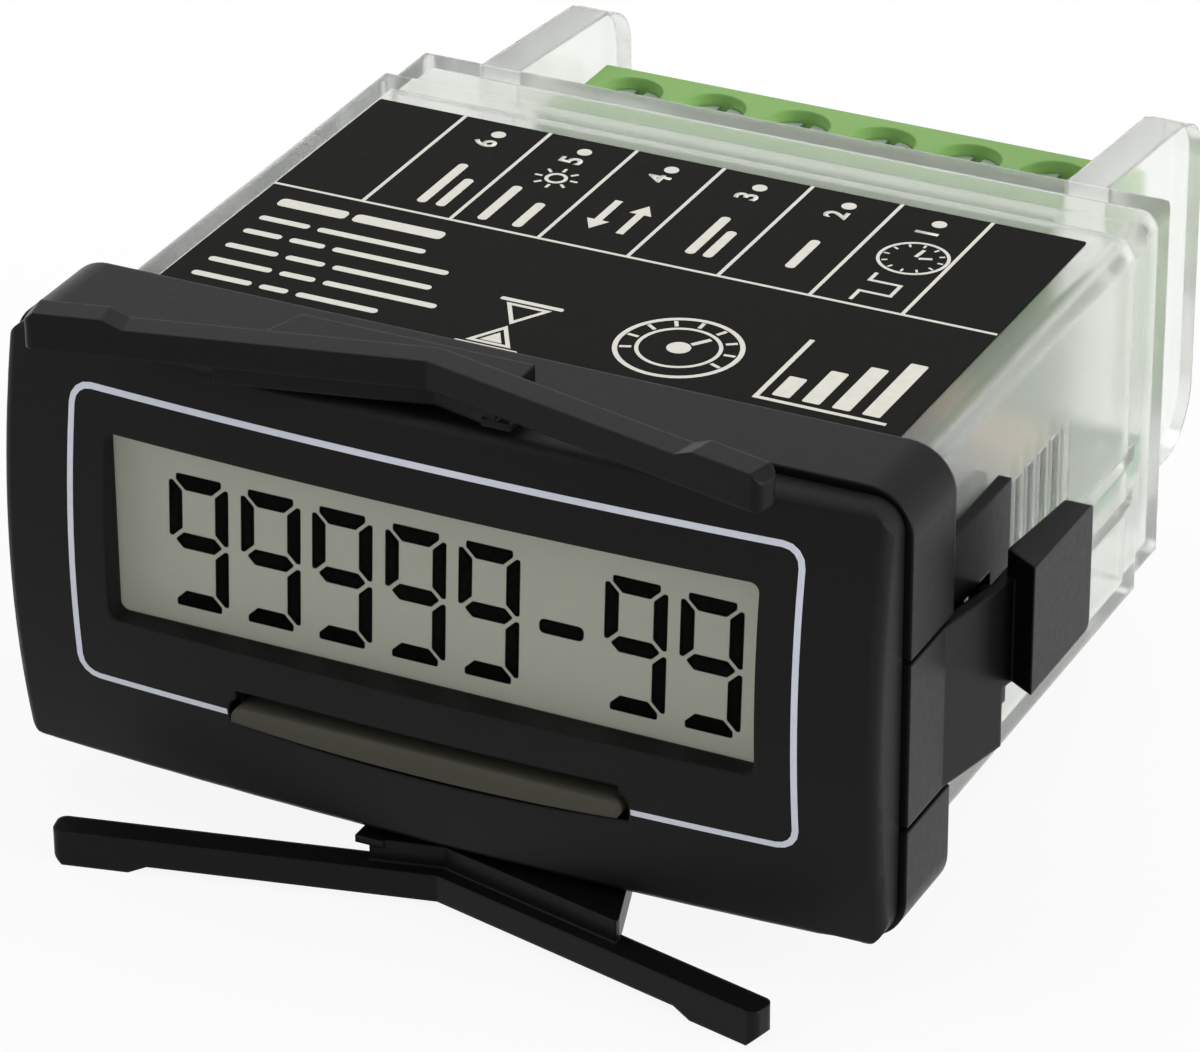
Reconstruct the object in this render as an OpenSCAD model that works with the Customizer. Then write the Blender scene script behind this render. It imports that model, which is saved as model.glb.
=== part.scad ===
// Panel hour meter for a 45 x 22 mm cut-out, all sizes in millimetres.
// X runs to the right, Y back through the panel and Z up.
// The origin is the centre of the panel seat, on the back of the front bezel.

/* [Front bezel] */
// Reach of the bezel past each side of the housing
bezel_side = 1.5; // [1:0.1:3]
// Reach of the bezel past the top and the bottom of the housing
bezel_lip = 1; // [0.8:0.05:2]
// Thickness of the bezel at the top of its domed face
bezel_peak = 3.8; // [3.6:0.1:4.4]
// Radius of the domed face seen from the side
dome_side_r = 50; // [44:1:90]
// Radius of the domed face seen from above
dome_top_r = 317; // [250:1:600]
// Corner radius of the bezel seen from the front
bezel_corner_r = 1.6; // [1:0.1:2.4]
// Radius along the front edges of the bezel
bezel_edge_r = 0.8; // [0.4:0.1:1]
// Wall of the collar that plugs into the housing
collar_wall = 1; // [0.8:0.05:1.1]
// Reach of the collar behind the display board
collar_tail = 1.6; // [1.2:0.1:1.8]
// Width of the end ledges in the collar that carry the display board
board_ledge = 0.6; // [0.5:0.05:0.7]
// Reach of the snap nubs that hold the display board on its ledges
snap_reach = 0.25; // [0.15:0.05:0.35]
// Depth of the snap nubs along the collar
snap_depth = 0.6; // [0.4:0.1:0.8]
// Length of the snap nubs up the collar wall
snap_len = 5; // [3:0.5:8]

/* [Window and display] */
// Border of the display glass beside the window
window_side = 1.4; // [1.3:0.05:2.4]
// Border of the display above its contact ledge, under the window
window_foot = 0.4; // [0.3:0.05:1]
// Corner radius of the window
window_corner_r = 0.5; // [0.2:0.1:1]
// Border of the display glass above the window
lcd_border = 1; // [0.8:0.05:1.1]
// Gap between the display glass and each end of the collar
lcd_side_gap = 0.9; // [0.8:0.05:1.2]
// Thickness of each of the two display glasses
lcd_glass_t = 0.95; // [0.7:0.05:1]
// Height of the contact ledge along the lower edge of the display
lcd_ledge = 2.4; // [2.2:0.1:2.6]
// Distance of the display front ahead of the panel seat
lcd_seat = 1.3; // [1.2:0.05:1.4]
// Thickness of the window lens
lens_t = 1.2; // [1:0.05:1.3]
// Thickness of the lens flange
lens_flange_t = 0.6; // [0.4:0.05:0.7]
// Width of the lens flange around the window
lens_flange = 1.1; // [0.8:0.05:1.2]
// Height of the rubber connector strip
zebra_h = 1.6; // [1.4:0.05:1.7]
// Length of the rubber connector strip
zebra_len = 34; // [28:0.5:36]
// Border of the backlight guide inside the rear glass of the display
guide_border = 0.3; // [0.2:0.05:0.5]

/* [Reset button] */
// Height of the strip under the display that holds the button and its switch
button_zone = 3; // [2.95:0.05:3.4]
// Length of the reset button
button_len = 21.4; // [18:0.1:24]
// Height of the reset button at its middle
button_h = 1.35; // [1.3:0.05:1.5]
// Radius of the bowed lower edge of the button
button_bow_r = 110; // [90:1:160]
// Radius of the button ends
button_end_r = 0.5; // [0.3:0.05:0.6]
// Distance of the button front ahead of the panel seat
button_front = 3.7; // [3.6:0.1:4.2]
// Radius of the rounded nose of the button seen from the end
button_nose_r = 1.9; // [1.6:0.1:2.6]
// Travel of the button
button_travel = 0.5; // [0.3:0.05:0.55]
// Thickness of the flange that keeps the button in the bezel
button_flange_t = 0.6; // [0.5:0.05:0.65]
// Reach of the button flange past each end of the button
button_flange_x = 0.8; // [0.5:0.05:1]
// Width of the button stem
stem_w = 3; // [2:0.1:4]
// Width of the bezel recess past each end of the button
recess_side = 0.4; // [0.3:0.05:0.8]
// Depth of the bezel wall behind the recess
recess_floor = 0.8; // [0.6:0.05:0.9]
// Width of the recess above the button
recess_above = 0.8; // [0.5:0.05:0.9]
// Width of the reset switch
switch_w = 6; // [5:0.1:8]
// Height of the reset switch
switch_h = 3; // [2.8:0.05:3.05]
// Depth of the reset switch
switch_d = 1.6; // [1.5:0.05:1.8]
// Radius of the switch plunger
plunger_r = 0.8; // [0.5:0.05:1]

/* [Housing] */
// Width of the housing
housing_w = 45; // [44.9:0.05:45.4]
// Height of the housing
housing_h = 22; // [21.9:0.05:22.4]
// Wall of the housing
housing_wall = 1.3; // [1.2:0.05:1.4]
// Corner radius of the housing
housing_corner_r = 1.1; // [0.9:0.1:2]
// Length of the full-size sleeve behind the panel seat
sleeve_len = 35.1; // [33.5:0.1:37]
// Length of the stepped rear end
step_len = 4.1; // [3.6:0.1:5]
// Width of the step around the rear end
step_in = 0.4; // [0.3:0.05:0.6]
// Radius of the rear edges
rear_edge_r = 0.8; // [0.6:0.1:1.2]
// Thickness of the rear wall and of the terminal floor
rear_wall = 1.2; // [1:0.1:1.6]
// Length of the cheeks behind the rear wall
cheek_len = 13.8; // [12.6:0.1:17]
// Thickness of each cheek
cheek_t = 2.3; // [1.8:0.05:2.6]
// Clear width between the terminal block and each cheek
cheek_gap = 0.75; // [0.6:0.05:1.2]
// Drop of the cheek top below the stepped rear end
cheek_drop = 0.3; // [0.2:0.1:1.4]
// Fall of the cheek top towards its rear end
cheek_fall = 1.1; // [0.5:0.1:2]
// Radius of the upper rear corner of the cheeks
cheek_top_r = 2.8; // [1:0.1:4]
// Radius of the lower rear corner of the cheeks
cheek_low_r = 3.4; // [1:0.1:5]
// Width of the rails that hold the main board
rail_w = 1.8; // [1.4:0.1:2]
// Height of each rail
rail_h = 0.9; // [0.7:0.05:1.2]

/* [Ratchet rack] */
// Distance of the first rack groove behind the panel seat
rack_start = 6.4; // [6:0.1:8]
// Distance of the last rack groove behind the panel seat
rack_end = 25.2; // [22:0.1:30]
// Pitch of the rack grooves
rack_pitch = 1.6; // [1.2:0.05:2.4]
// Width of a rack groove
groove_w = 0.8; // [0.5:0.05:1]
// Depth of a rack groove
groove_d = 0.5; // [0.3:0.05:0.6]
// Height of the rack
rack_h = 9; // [7:0.1:11]

/* [Panel clip] */
// Wall of the clip ring at the sides
clip_side_t = 1.6; // [1.5:0.05:2]
// Wall of the clip ring at the top and bottom
clip_top_t = 1.1; // [1:0.05:1.6]
// Depth of the clip ring
clip_depth = 5.1; // [4.4:0.1:6]
// Corner radius of the clip ring
clip_corner_r = 2.4; // [1.8:0.1:3]
// Height of the gap between the ring and the spring bows
bow_gap = 1.25; // [1:0.05:2.5]
// Height of the spring bows
bow_h = 1.5; // [1.2:0.05:2]
// Thickness of the spring bows
bow_t = 1.6; // [1.2:0.05:2]
// Length of each arm of a bow
bow_arm = 20.15; // [16:0.05:23]
// Forward angle of the bow arms
bow_angle = 13.2; // [8:0.1:16]
// Distance of the bow's middle ahead of the panel seat
bow_front = 2.35; // [2.2:0.05:3.2]
// Radius of the bow tips
bow_tip_r = 0.5; // [0.3:0.05:0.7]
// Length of the thick pad at each bow tip
pad_len = 4; // [3:0.1:6]
// Extra height of the pad
pad_h = 0.45; // [0.2:0.05:0.8]
// Length of the slope between arm and pad
pad_slope = 1; // [0.5:0.1:2]
// Reach of the hub under the short side of each bow
hub_near = 3.75; // [3:0.05:6]
// Reach of the hub's root on the ring under the long side of each bow
hub_root = 9; // [5:0.1:10]
// Reach of the hub's gusset under the long side of each bow
hub_far = 10.8; // [8:0.1:14]
// Depth of the hub on the ring
hub_depth = 1.7; // [1.2:0.1:3]
// Depth the hub bites into its bow
hub_bite = 0.25; // [0.1:0.05:0.5]
// Width of the low step beside the hub
hub_step = 0.8; // [0.4:0.1:1.5]
// Height of the low step beside the hub
hub_step_h = 0.4; // [0.3:0.05:0.8]

/* [Latches] */
// Thickness of the guide wall beside the housing
guide_wall_t = 0.7; // [0.6:0.05:0.8]
// Half height of the guide wall
guide_wall_h = 6.3; // [5.9:0.1:7]
// Reach of the guide wall behind the panel seat
guide_wall_end = 14.3; // [13:0.1:16]
// Slit between the guide wall and the latch arm
latch_slit = 0.2; // [0.15:0.05:0.25]
// Slit above and below the latch arm in the ring
latch_edge_slit = 0.3; // [0.2:0.05:0.5]
// Length of the root that joins latch arm and guide wall
latch_root = 1.5; // [1:0.1:2]
// Top of the latch arm
latch_top = 3.2; // [3:0.1:4]
// Bottom of the latch arm
latch_bottom = -5.75; // [-6:0.05:-5]
// Distance behind the ring front where the latch arm starts to flare
latch_bend = 4.2; // [3.6:0.1:4.6]
// Reach of the latch arm behind the ring front
latch_len = 9.1; // [8.6:0.1:10]
// Outward flare of the latch arm at its end
latch_flare = 1; // [0.8:0.05:1.2]
// Length of the thumb tab
tab_len = 7.5; // [6:0.1:9]
// Thickness of the thumb tab
tab_t = 1.5; // [1.2:0.05:2]
// Top of the thumb tab
tab_top = 4.6; // [4:0.1:5.4]
// Bottom of the thumb tab
tab_bottom = -2.5; // [-3:0.1:-2]
// Length over which tab and latch arm join
tab_joint = 2; // [1.5:0.1:3]
// Sunk depth of the tab's inner face in the latch arm
tab_sink = 0.3; // [0.2:0.05:0.5]
// Thickness of the thumb tab at its rear end
tab_rear_t = 1.3; // [1:0.05:1.4]
// Growth of the thumb tab towards the ring at its front end
tab_grow = 0.4; // [0.2:0.05:0.6]
// Slant of the thumb tab's front end
tab_slant = 1.2; // [0.6:0.1:1.6]
// Corner radius of the thumb tab
tab_corner_r = 0.5; // [0.3:0.05:0.8]
// Height of the pawl
pawl_h = 4; // [3:0.1:4.4]
// Reach of the pawl tip inside the guide wall
pawl_reach = 0.06; // [0.02:0.02:0.12]
// Lean of the rear face of the pawl
pawl_lean = 0.2; // [0.1:0.05:0.4]

/* [Main board] */
// Height of the main board's top above the outside of the terminal floor
board_rise = 7.6; // [7.4:0.05:7.8]
// Thickness of the main board
board_t = 1.6; // [1.2:0.1:1.6]
// Gap between the main board and each housing wall
board_side_gap = 0.8; // [0.5:0.05:1]
// Front edge of the main board behind the display board
board_front_gap = 2.2; // [1.9:0.1:2.3]
// Thickness of the display board
display_board_t = 1.2; // [1:0.1:1.4]
// Distance of the display board behind the panel seat
display_board_y = 3.2; // [3.1:0.05:3.4]
// Number of pins in the header between the boards
header_pins = 10; // [6:1:12]
// Pitch of the header pins
header_pitch = 2.54; // [2:0.01:2.54]
// Side of a square header pin
header_pin = 0.64; // [0.5:0.02:0.7]
// Height and depth of the header strip
header_size = 2.5; // [2.3:0.1:2.7]
// Drilled radius of the header holes
header_hole_r = 0.52; // [0.5:0.01:0.6]
// Length of pin that stands through a board
pin_tail = 0.9; // [0.5:0.1:1.2]

/* [Parts on the boards] */
// Radius of the lithium cell
cell_r = 12.25; // [10:0.05:12.4]
// Height of the lithium cell
cell_h = 5; // [3.2:0.1:6]
// Height of the sloped rim under the lithium cell
cell_rim = 0.6; // [0.4:0.05:0.8]
// Sideways place of the lithium cell
cell_x = -5.5; // [-6.5:0.1:-5]
// Distance of the cell centre behind the panel seat
cell_y = 23; // [22.6:0.1:23.4]
// Thickness of the welded cell tabs
tab_metal = 0.2; // [0.15:0.05:0.3]
// Width of the welded cell tabs
tab_strip_w = 4; // [3:0.1:5]
// Side of the driver chip on the display board
chip_w = 6; // [5:0.1:6.4]
// Border of the display board above the driver chip
chip_border = 0.75; // [0.4:0.05:1]
// Thickness of the driver chip
chip_t = 1.2; // [0.8:0.1:1.4]
// Radius of the filter capacitor
cap_r = 2.5; // [2:0.1:3]
// Height of the filter capacitor
cap_h = 7; // [5:0.1:9]
// Radius of the watch crystal
crystal_r = 1; // [0.7:0.05:1.2]
// Length of the watch crystal
crystal_len = 6; // [5:0.1:7]
// Width of the input optocoupler
opto_w = 4.6; // [4:0.1:5]
// Length of the input optocoupler
opto_len = 6.4; // [5:0.1:7]
// Height of the input optocoupler
opto_h = 3; // [2.4:0.1:3.5]
// Radius of the input resistors
resistor_r = 1.1; // [0.8:0.05:1.2]
// Length of the input resistors
resistor_len = 6; // [5:0.1:6.4]
// Radius of the resistor wires
lead_r = 0.3; // [0.2:0.05:0.35]
// Distance of the parts beside the cell from the board's side
parts_edge = 7.4; // [7:0.1:7.8]
// Gap between neighbouring parts beside the cell
parts_gap = 0.6; // [0.4:0.05:0.8]

/* [Terminals] */
// Number of terminals
ways = 6; // [4:1:6]
// Pitch of the terminals
pitch = 5.08; // [5:0.02:5.08]
// End wall of the terminal block past the last pitch
block_end = 0.1; // [0.1:0.05:0.3]
// Depth of the terminal block
block_d = 8.9; // [8.7:0.1:11]
// Height of the terminal block
block_h = 10.1; // [9.9:0.05:10.6]
// Gap between the rear wall and the terminal block
block_gap = 0.3; // [0.2:0.05:0.6]
// Distance of the screws ahead of the block's rear face
screw_inset = 2.8; // [2.7:0.05:3.2]
// Radius of the screw wells
well_r = 1.95; // [1.85:0.05:2]
// Radius of the wire entries
entry_r = 1.5; // [1.2:0.05:1.55]
// Widening of the wire entries at the mouth
entry_flare = 0.2; // [0.1:0.05:0.3]
// Width of a wire clamp
clamp_w = 3.5; // [3.3:0.05:3.6]
// Length of a wire clamp along the wire
clamp_len = 3.3; // [3.2:0.05:3.6]
// Height of a wire clamp
clamp_h = 5.3; // [5.2:0.05:5.4]
// Side wall of a wire clamp
clamp_wall = 0.4; // [0.3:0.05:0.45]
// Floor of a wire clamp
clamp_floor = 0.6; // [0.5:0.05:0.8]
// Threaded top of a wire clamp
clamp_top = 1; // [0.8:0.05:1.1]
// Rise of a wire clamp from open to closed
clamp_rise = 2; // [1.4:0.1:2]
// Radius of the screw shank
shank_r = 1.2; // [0.9:0.05:1.2]
// Height of the screw head
head_h = 0.9; // [0.8:0.05:1]
// Width of the screw slot
slot_w = 0.6; // [0.4:0.05:0.8]
// Depth of the screw slot
slot_d = 0.55; // [0.4:0.05:0.6]
// Thickness of the terminal plate
plate_t = 0.8; // [0.6:0.05:0.9]
// Width of the solder leg
leg_w = 1; // [0.8:0.05:1.1]
// Length of the solder leg below the board
leg_tail = 2; // [1.2:0.1:2.6]

/* [Label] */
// Width of the label
label_w = 40.8; // [38:0.1:41]
// Front edge of the label behind the panel seat
label_front = 2.5; // [1:0.1:6]
// Rear edge of the label behind the panel seat
label_rear = 31.2; // [28:0.05:32]
// Thickness of the label
label_t = 0.1; // [0.08:0.01:0.15]
// Corner radius of the label
label_corner_r = 0.15; // [0.1:0.05:1]

/* [Fits] */
// Clearance between collar and housing
plug_fit = 0.1; // [0.05:0.01:0.15]
// Clearance around glass and boards
part_fit = 0.1; // [0.05:0.01:0.12]
// Clearance of the clip ring around the housing
clip_fit = 0.3; // [0.2:0.05:0.4]
// Gap between the bezel and the clip when it is fully forward
clip_stop = 0.1; // [0.05:0.05:0.3]
// Clearance around the button
button_fit = 0.15; // [0.1:0.01:0.2]
// Running clearance of screws and plunger
run_fit = 0.06; // [0.04:0.01:0.08]
// Clearance around the wire clamps
clamp_fit = 0.2; // [0.12:0.01:0.22]

/* [Hidden] */
$fn = 48;
cut = 1;
edge_margin = 0.024;

// Shell, collar and what they hold, from the outside in
housing_in_w = housing_w - 2 * housing_wall;
housing_in_h = housing_h - 2 * housing_wall;
bezel_w = housing_w + 2 * bezel_side;
bezel_h = housing_h + 2 * bezel_lip;
collar_w = housing_in_w - 2 * plug_fit;
collar_h = housing_in_h - 2 * plug_fit;
collar_in_w = collar_w - 2 * collar_wall;
collar_in_h = collar_h - 2 * collar_wall;
display_board_w = collar_in_w - 2 * part_fit;
display_board_h = collar_in_h - 2 * part_fit;
display_board_back = display_board_y + display_board_t;
collar_end = display_board_back + collar_tail;

// Display and window
lcd_w = collar_in_w - 2 * lcd_side_gap;
lcd_z1 = collar_in_h / 2 - part_fit;
lcd_z0 = button_zone - collar_in_h / 2;
lcd_front = -lcd_seat;
lcd_mid = lcd_front + lcd_glass_t;
lcd_back = lcd_mid + lcd_glass_t;
lens_back = lcd_front - part_fit;
lens_front = lens_back - lens_t;
window_w = lcd_w - 2 * window_side;
window_z1 = lcd_z1 - lcd_border;
window_h = window_z1 - lcd_z0 - lcd_ledge - window_foot;
window_z = window_z1 - window_h / 2;
lens_flange_z1 = window_z1 + lcd_border;
lens_flange_z0 = window_z1 - window_h - lens_flange;
zebra_z = lcd_z0 + lcd_ledge / 2;

// Reset button, placed under the lower edge of the display
button_z1 = lcd_z0 - 2 * button_fit;
button_z = button_z1 - button_h / 2;
button_wall_back = lcd_front;
recess_y = button_wall_back - recess_floor;
switch_z = lcd_z0 + part_fit - switch_h / 2;
switch_front = display_board_y - switch_d;
plunger_front = switch_front - button_travel - 4 * part_fit;
plunger_back = display_board_y - button_travel - 3 * part_fit;
button_flange_h = button_h + 2 * button_fit;

// Housing
housing_back = sleeve_len + step_len;
cavity_back = housing_back - rear_wall;
step_w = housing_w - 2 * step_in;
step_h = housing_h - 2 * step_in;
rear_in_w = step_w - 2 * rear_wall;
rear_in_h = step_h - 2 * rear_wall;
block_w = ways * pitch + 2 * block_end;
cheek_in = block_w / 2 + cheek_gap;
cheek_out = cheek_in + cheek_t;
cheek_back = housing_back + cheek_len;
floor_z = -step_h / 2;
cheek_top = step_h / 2 - cheek_drop;
board_top = floor_z + board_rise;
groove_count = floor((rack_end - rack_start) / rack_pitch) + 1;

// Main board
main_board_front = display_board_back + board_front_gap;
main_board_bottom = board_top - board_t;
main_board_w = housing_in_w - 2 * board_side_gap;
main_tail_w = 2 * (cheek_in - cheek_gap / 2);
header_y0 = main_board_front + part_fit;
header_leg_y = header_y0 + header_size / 2;
header_z = board_top + header_size / 2;
cell_bottom = board_top + tab_metal;
cell_top = cell_bottom + cell_h;
cell_tab_x = cell_x + cell_r + 2 * part_fit;
parts_x = main_board_w / 2 - parts_edge;
crystal_y = header_y0 + header_size + parts_gap;
cap_y = crystal_y + crystal_len + parts_gap + cap_r;
opto_y = cap_y + cap_r + parts_gap;

// Terminals
block_front = housing_back + block_gap;
block_back = block_front + block_d;
block_top = board_top + block_h;
screw_y = block_back - screw_inset;
clamp_low = board_top + clamp_floor + 2 * clamp_fit;
clamp_front = screw_y - clamp_len / 2;
cavity_w = clamp_w + 2 * clamp_fit;
cavity_top = clamp_low + clamp_h + clamp_rise + part_fit;
plate_w = clamp_w - 2 * clamp_wall - 2 * clamp_fit;
plate_top = clamp_low + clamp_h - clamp_top - 2 * clamp_fit;
plate_front = clamp_front - 4 * clamp_fit - plate_t;
entry_z = (clamp_low + clamp_floor + plate_top - plate_t) / 2;
head_r = well_r - run_fit;
head_z0 = cavity_top + part_fit;
main_board_back = block_back + block_gap;

// Panel clip
clip_in_w = housing_w + 2 * clip_fit;
clip_in_h = housing_h + 2 * clip_fit;
clip_w = clip_in_w + 2 * clip_side_t;
clip_h = clip_in_h + 2 * clip_top_t;
clip_front = clip_stop;
clip_back = clip_front + clip_depth;
bow_z0 = clip_h / 2 + bow_gap;
guide_x = clip_in_w / 2;
latch_x = guide_x + guide_wall_t + latch_slit;
latch_back = clip_front + latch_len;
pawl_tip_x = guide_x - pawl_reach;

// Place of terminal n, counted from the right as seen from the front
function way_x(n) = ((ways + 1) / 2 - n) * pitch;

// Solid along Y between two planes, from a shape drawn in X and Z
module prism_y(y0, y1) {
    translate([0, y1, 0]) rotate([90, 0, 0]) linear_extrude(y1 - y0) children();
}

// Solid along X between two planes, from a shape drawn in Y and Z
module prism_x(x0, x1) {
    translate([x0, 0, 0]) rotate([90, 0, 90]) linear_extrude(x1 - x0) children();
}

// Solid along Z between two planes, from a shape drawn in X and Y
module prism_z(z0, z1) {
    translate([0, 0, z0]) linear_extrude(z1 - z0) children();
}

// Box from its low and high corners
module block_between(low, high) {
    translate(low) cube(high - low);
}

// Rectangle with round corners, centred
module round_rect(w, h, r) {
    square([w - 2 * r, h], center = true);
    square([w, h - 2 * r], center = true);
    for (sx = [-1, 1], sy = [-1, 1])
        translate([sx * (w / 2 - r), sy * (h / 2 - r)]) circle(r);
}

// Rectangle between two corners whose two far corners, at high x, are round
module round_end(x0, x1, y0, y1, r) {
    translate([x0, y0]) square([x1 - x0 - r, y1 - y0]);
    translate([x0, y0 + r]) square([x1 - x0, y1 - y0 - 2 * r]);
    for (y = [y0 + r, y1 - r]) translate([x1 - r, y]) circle(r);
}

// Corner left outside a round edge, for cutting it, with its centre at the origin
module edge_waste(r) {
    difference() {
        square(3 * r);
        circle(r);
    }
}

// Front shape of the button: straight upper edge, bowed lower edge, round ends
module button_shape(grow) {
    intersection() {
        translate([0, button_z]) round_rect(button_len + 2 * grow, button_h + 2 * grow,
                                            button_end_r + grow);
        translate([0, button_z - button_h / 2 - grow + button_bow_r]) circle(button_bow_r, $fn = 180);
    }
}

// Domed face: a top-view arc turned about a crosswise axis behind the panel
module bezel_dome() {
    edge = bezel_edge_r;
    arc_r = dome_side_r - dome_top_r;
    edge_r = arc_r + sqrt(pow(dome_top_r - edge, 2) - pow(bezel_w / 2 - edge, 2)) + edge_margin;
    translate([0, dome_side_r - bezel_peak, 0]) rotate([0, 90, 0]) rotate_extrude($fn = 180)
        difference() {
            intersection() {
                translate([arc_r, 0]) circle(dome_top_r, $fn = 360);
                translate([dome_side_r - 2 * bezel_peak, -bezel_w / 2])
                    square([3 * bezel_peak, bezel_w]);
            }
            for (s = [0, 1]) mirror([0, s])
                translate([edge_r, bezel_w / 2 - edge]) edge_waste(edge);
        }
}

// Waste along the upper and lower front edges of the bezel
module bezel_edge_cut() {
    edge = bezel_edge_r;
    arc_r = dome_top_r - dome_side_r;
    edge_r = arc_r + sqrt(pow(dome_side_r - edge, 2) - pow(bezel_h / 2 - edge, 2)) + edge_margin;
    for (s = [0, 1]) mirror([0, 0, s])
        translate([0, dome_top_r - bezel_peak, 0]) rotate_extrude($fn = 360)
            translate([edge_r, bezel_h / 2 - edge]) edge_waste(edge);
}

// Ledges and snap nubs that carry the display board at both ends of the collar
module board_seats() {
    for (s = [0, 1]) mirror([s, 0, 0]) {
        block_between([collar_in_w / 2 - board_ledge, 0, -collar_in_h / 2],
                      [collar_in_w / 2, display_board_y, collar_in_h / 2]);
        block_between([collar_in_w / 2 - snap_reach, display_board_back + part_fit / 2, -snap_len / 2],
                      [collar_in_w / 2, display_board_back + part_fit / 2 + snap_depth, snap_len / 2]);
    }
}

module front_bezel() {
    color("#1b1b1c") difference() {
        union() {
            difference() {
                intersection() {
                    prism_y(-bezel_peak - cut, 0) round_rect(bezel_w, bezel_h, bezel_corner_r);
                    bezel_dome();
                }
                bezel_edge_cut();
            }
            difference() {
                prism_y(-part_fit, collar_end) round_rect(collar_w, collar_h,
                                                          housing_corner_r - housing_wall / 2);
                block_between([-collar_in_w / 2, 0, -collar_in_h / 2],
                              [collar_in_w / 2, collar_end + cut, collar_in_h / 2]);
            }
            board_seats();
        }
        // Window, lens seat and display pocket
        translate([0, 0, window_z]) prism_y(-bezel_peak - cut, cut)
            round_rect(window_w, window_h, window_corner_r);
        block_between([-window_w / 2 - lens_flange - part_fit, lens_back - lens_flange_t,
                       lens_flange_z0 - part_fit],
                      [window_w / 2 + lens_flange + part_fit, cut, lens_flange_z1 + part_fit]);
        block_between([-lcd_w / 2 - part_fit, lcd_front, lcd_z0 - part_fit],
                      [lcd_w / 2 + part_fit, cut, lcd_z1 + part_fit]);
        // Button recess, slot and flange pocket
        prism_y(-bezel_peak - cut, recess_y) union() {
            button_shape(recess_side);
            translate([-button_len / 2 - recess_side + button_end_r, button_z])
                square([button_len + 2 * recess_side - 2 * button_end_r, button_h / 2 + recess_above]);
        }
        prism_y(-bezel_peak - cut, cut) button_shape(button_fit);
        block_between([-button_len / 2 - button_flange_x - button_fit, button_wall_back,
                       button_z - button_flange_h / 2 - button_fit],
                      [button_len / 2 + button_flange_x + button_fit, cut, lcd_z0]);
    }
}

module window_lens() {
    color("#dfe7ea", 0.35) union() {
        translate([0, 0, window_z]) prism_y(lens_front, lens_back)
            round_rect(window_w - 2 * part_fit, window_h - 2 * part_fit, window_corner_r);
        block_between([-window_w / 2 - lens_flange, lens_back - lens_flange_t + part_fit / 2,
                       lens_flange_z0],
                      [window_w / 2 + lens_flange, lens_back, lens_flange_z1]);
    }
}

module lcd_panel() {
    color("#8e9083") union() {
        block_between([-lcd_w / 2, lcd_front, lcd_z0], [lcd_w / 2, lcd_mid, lcd_z1]);
        block_between([-lcd_w / 2, lcd_mid, lcd_z0 + lcd_ledge], [lcd_w / 2, lcd_back, lcd_z1]);
    }
}

module zebra_strip() {
    color("#2b2b2e")
        block_between([-zebra_len / 2, lcd_mid, zebra_z - zebra_h / 2],
                      [zebra_len / 2, display_board_y, zebra_z + zebra_h / 2]);
}

module backlight_guide() {
    color("#eef1ee")
        block_between([-lcd_w / 2 + guide_border, lcd_back, lcd_z0 + lcd_ledge + guide_border],
                      [lcd_w / 2 - guide_border, display_board_y - pin_tail - part_fit,
                       lcd_z1 - guide_border]);
}

// Row of header pins: level through the display board, then down through the main board
module header_pin_shape() {
    half = header_pin / 2;
    for (n = [0:header_pins - 1]) translate([(n - (header_pins - 1) / 2) * header_pitch, 0, 0]) {
        block_between([-half, display_board_y - pin_tail, header_z - half],
                      [half, header_leg_y + half, header_z + half]);
        block_between([-half, header_leg_y - half, main_board_bottom - pin_tail],
                      [half, header_leg_y + half, header_z]);
    }
}

module header_holes_level() {
    for (n = [0:header_pins - 1])
        translate([(n - (header_pins - 1) / 2) * header_pitch, 0, header_z]) rotate([-90, 0, 0])
            cylinder(r = header_hole_r, h = header_leg_y);
}

module header_holes_down() {
    for (n = [0:header_pins - 1])
        translate([(n - (header_pins - 1) / 2) * header_pitch, header_leg_y, main_board_bottom - cut])
            cylinder(r = header_hole_r, h = board_t + 2 * cut);
}

module display_board() {
    color("#2f6b3c") difference() {
        block_between([-display_board_w / 2, display_board_y, -display_board_h / 2],
                      [display_board_w / 2, display_board_back, display_board_h / 2]);
        header_holes_level();
    }
}

module driver_chip() {
    z = display_board_h / 2 - chip_border - chip_w / 2;
    color("#1d1e20") block_between([-chip_w / 2, display_board_back, z - chip_w / 2],
                                   [chip_w / 2, display_board_back + chip_t, z + chip_w / 2]);
}

module reset_button() {
    flange_back = button_wall_back + part_fit / 2 + button_flange_t;
    color("#56564d") union() {
        intersection() {
            prism_y(-button_front, button_wall_back + 2 * part_fit) button_shape(0);
            prism_x(-button_len, button_len) union() {
                translate([-button_front + button_nose_r, button_z]) circle(button_nose_r);
                translate([-button_front + button_nose_r, button_z - button_h])
                    square([button_front, 2 * button_h]);
            }
        }
        block_between([-button_len / 2 - button_flange_x, button_wall_back + part_fit / 2,
                       button_z - button_flange_h / 2],
                      [button_len / 2 + button_flange_x, flange_back, button_z1]);
        block_between([-stem_w / 2, flange_back - part_fit, button_z - button_h / 2 + button_fit],
                      [stem_w / 2, plunger_front, button_z1 - button_fit]);
    }
}

module switch_plunger() {
    color("#d9d4c8") translate([0, plunger_front, switch_z]) rotate([-90, 0, 0])
        cylinder(r = plunger_r, h = plunger_back - plunger_front);
}

module reset_switch() {
    color("#26272a") difference() {
        block_between([-switch_w / 2, switch_front, switch_z - switch_h / 2],
                      [switch_w / 2, display_board_y, switch_z + switch_h / 2]);
        translate([0, switch_front - cut, switch_z]) rotate([-90, 0, 0])
            cylinder(r = plunger_r + run_fit, h = switch_d + cut - part_fit);
    }
}

module header_strip() {
    len = header_pins * header_pitch;
    color("#1e1f22") difference() {
        block_between([-len / 2, header_y0, board_top],
                      [len / 2, header_y0 + header_size, board_top + header_size]);
        header_pin_shape();
    }
}

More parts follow.
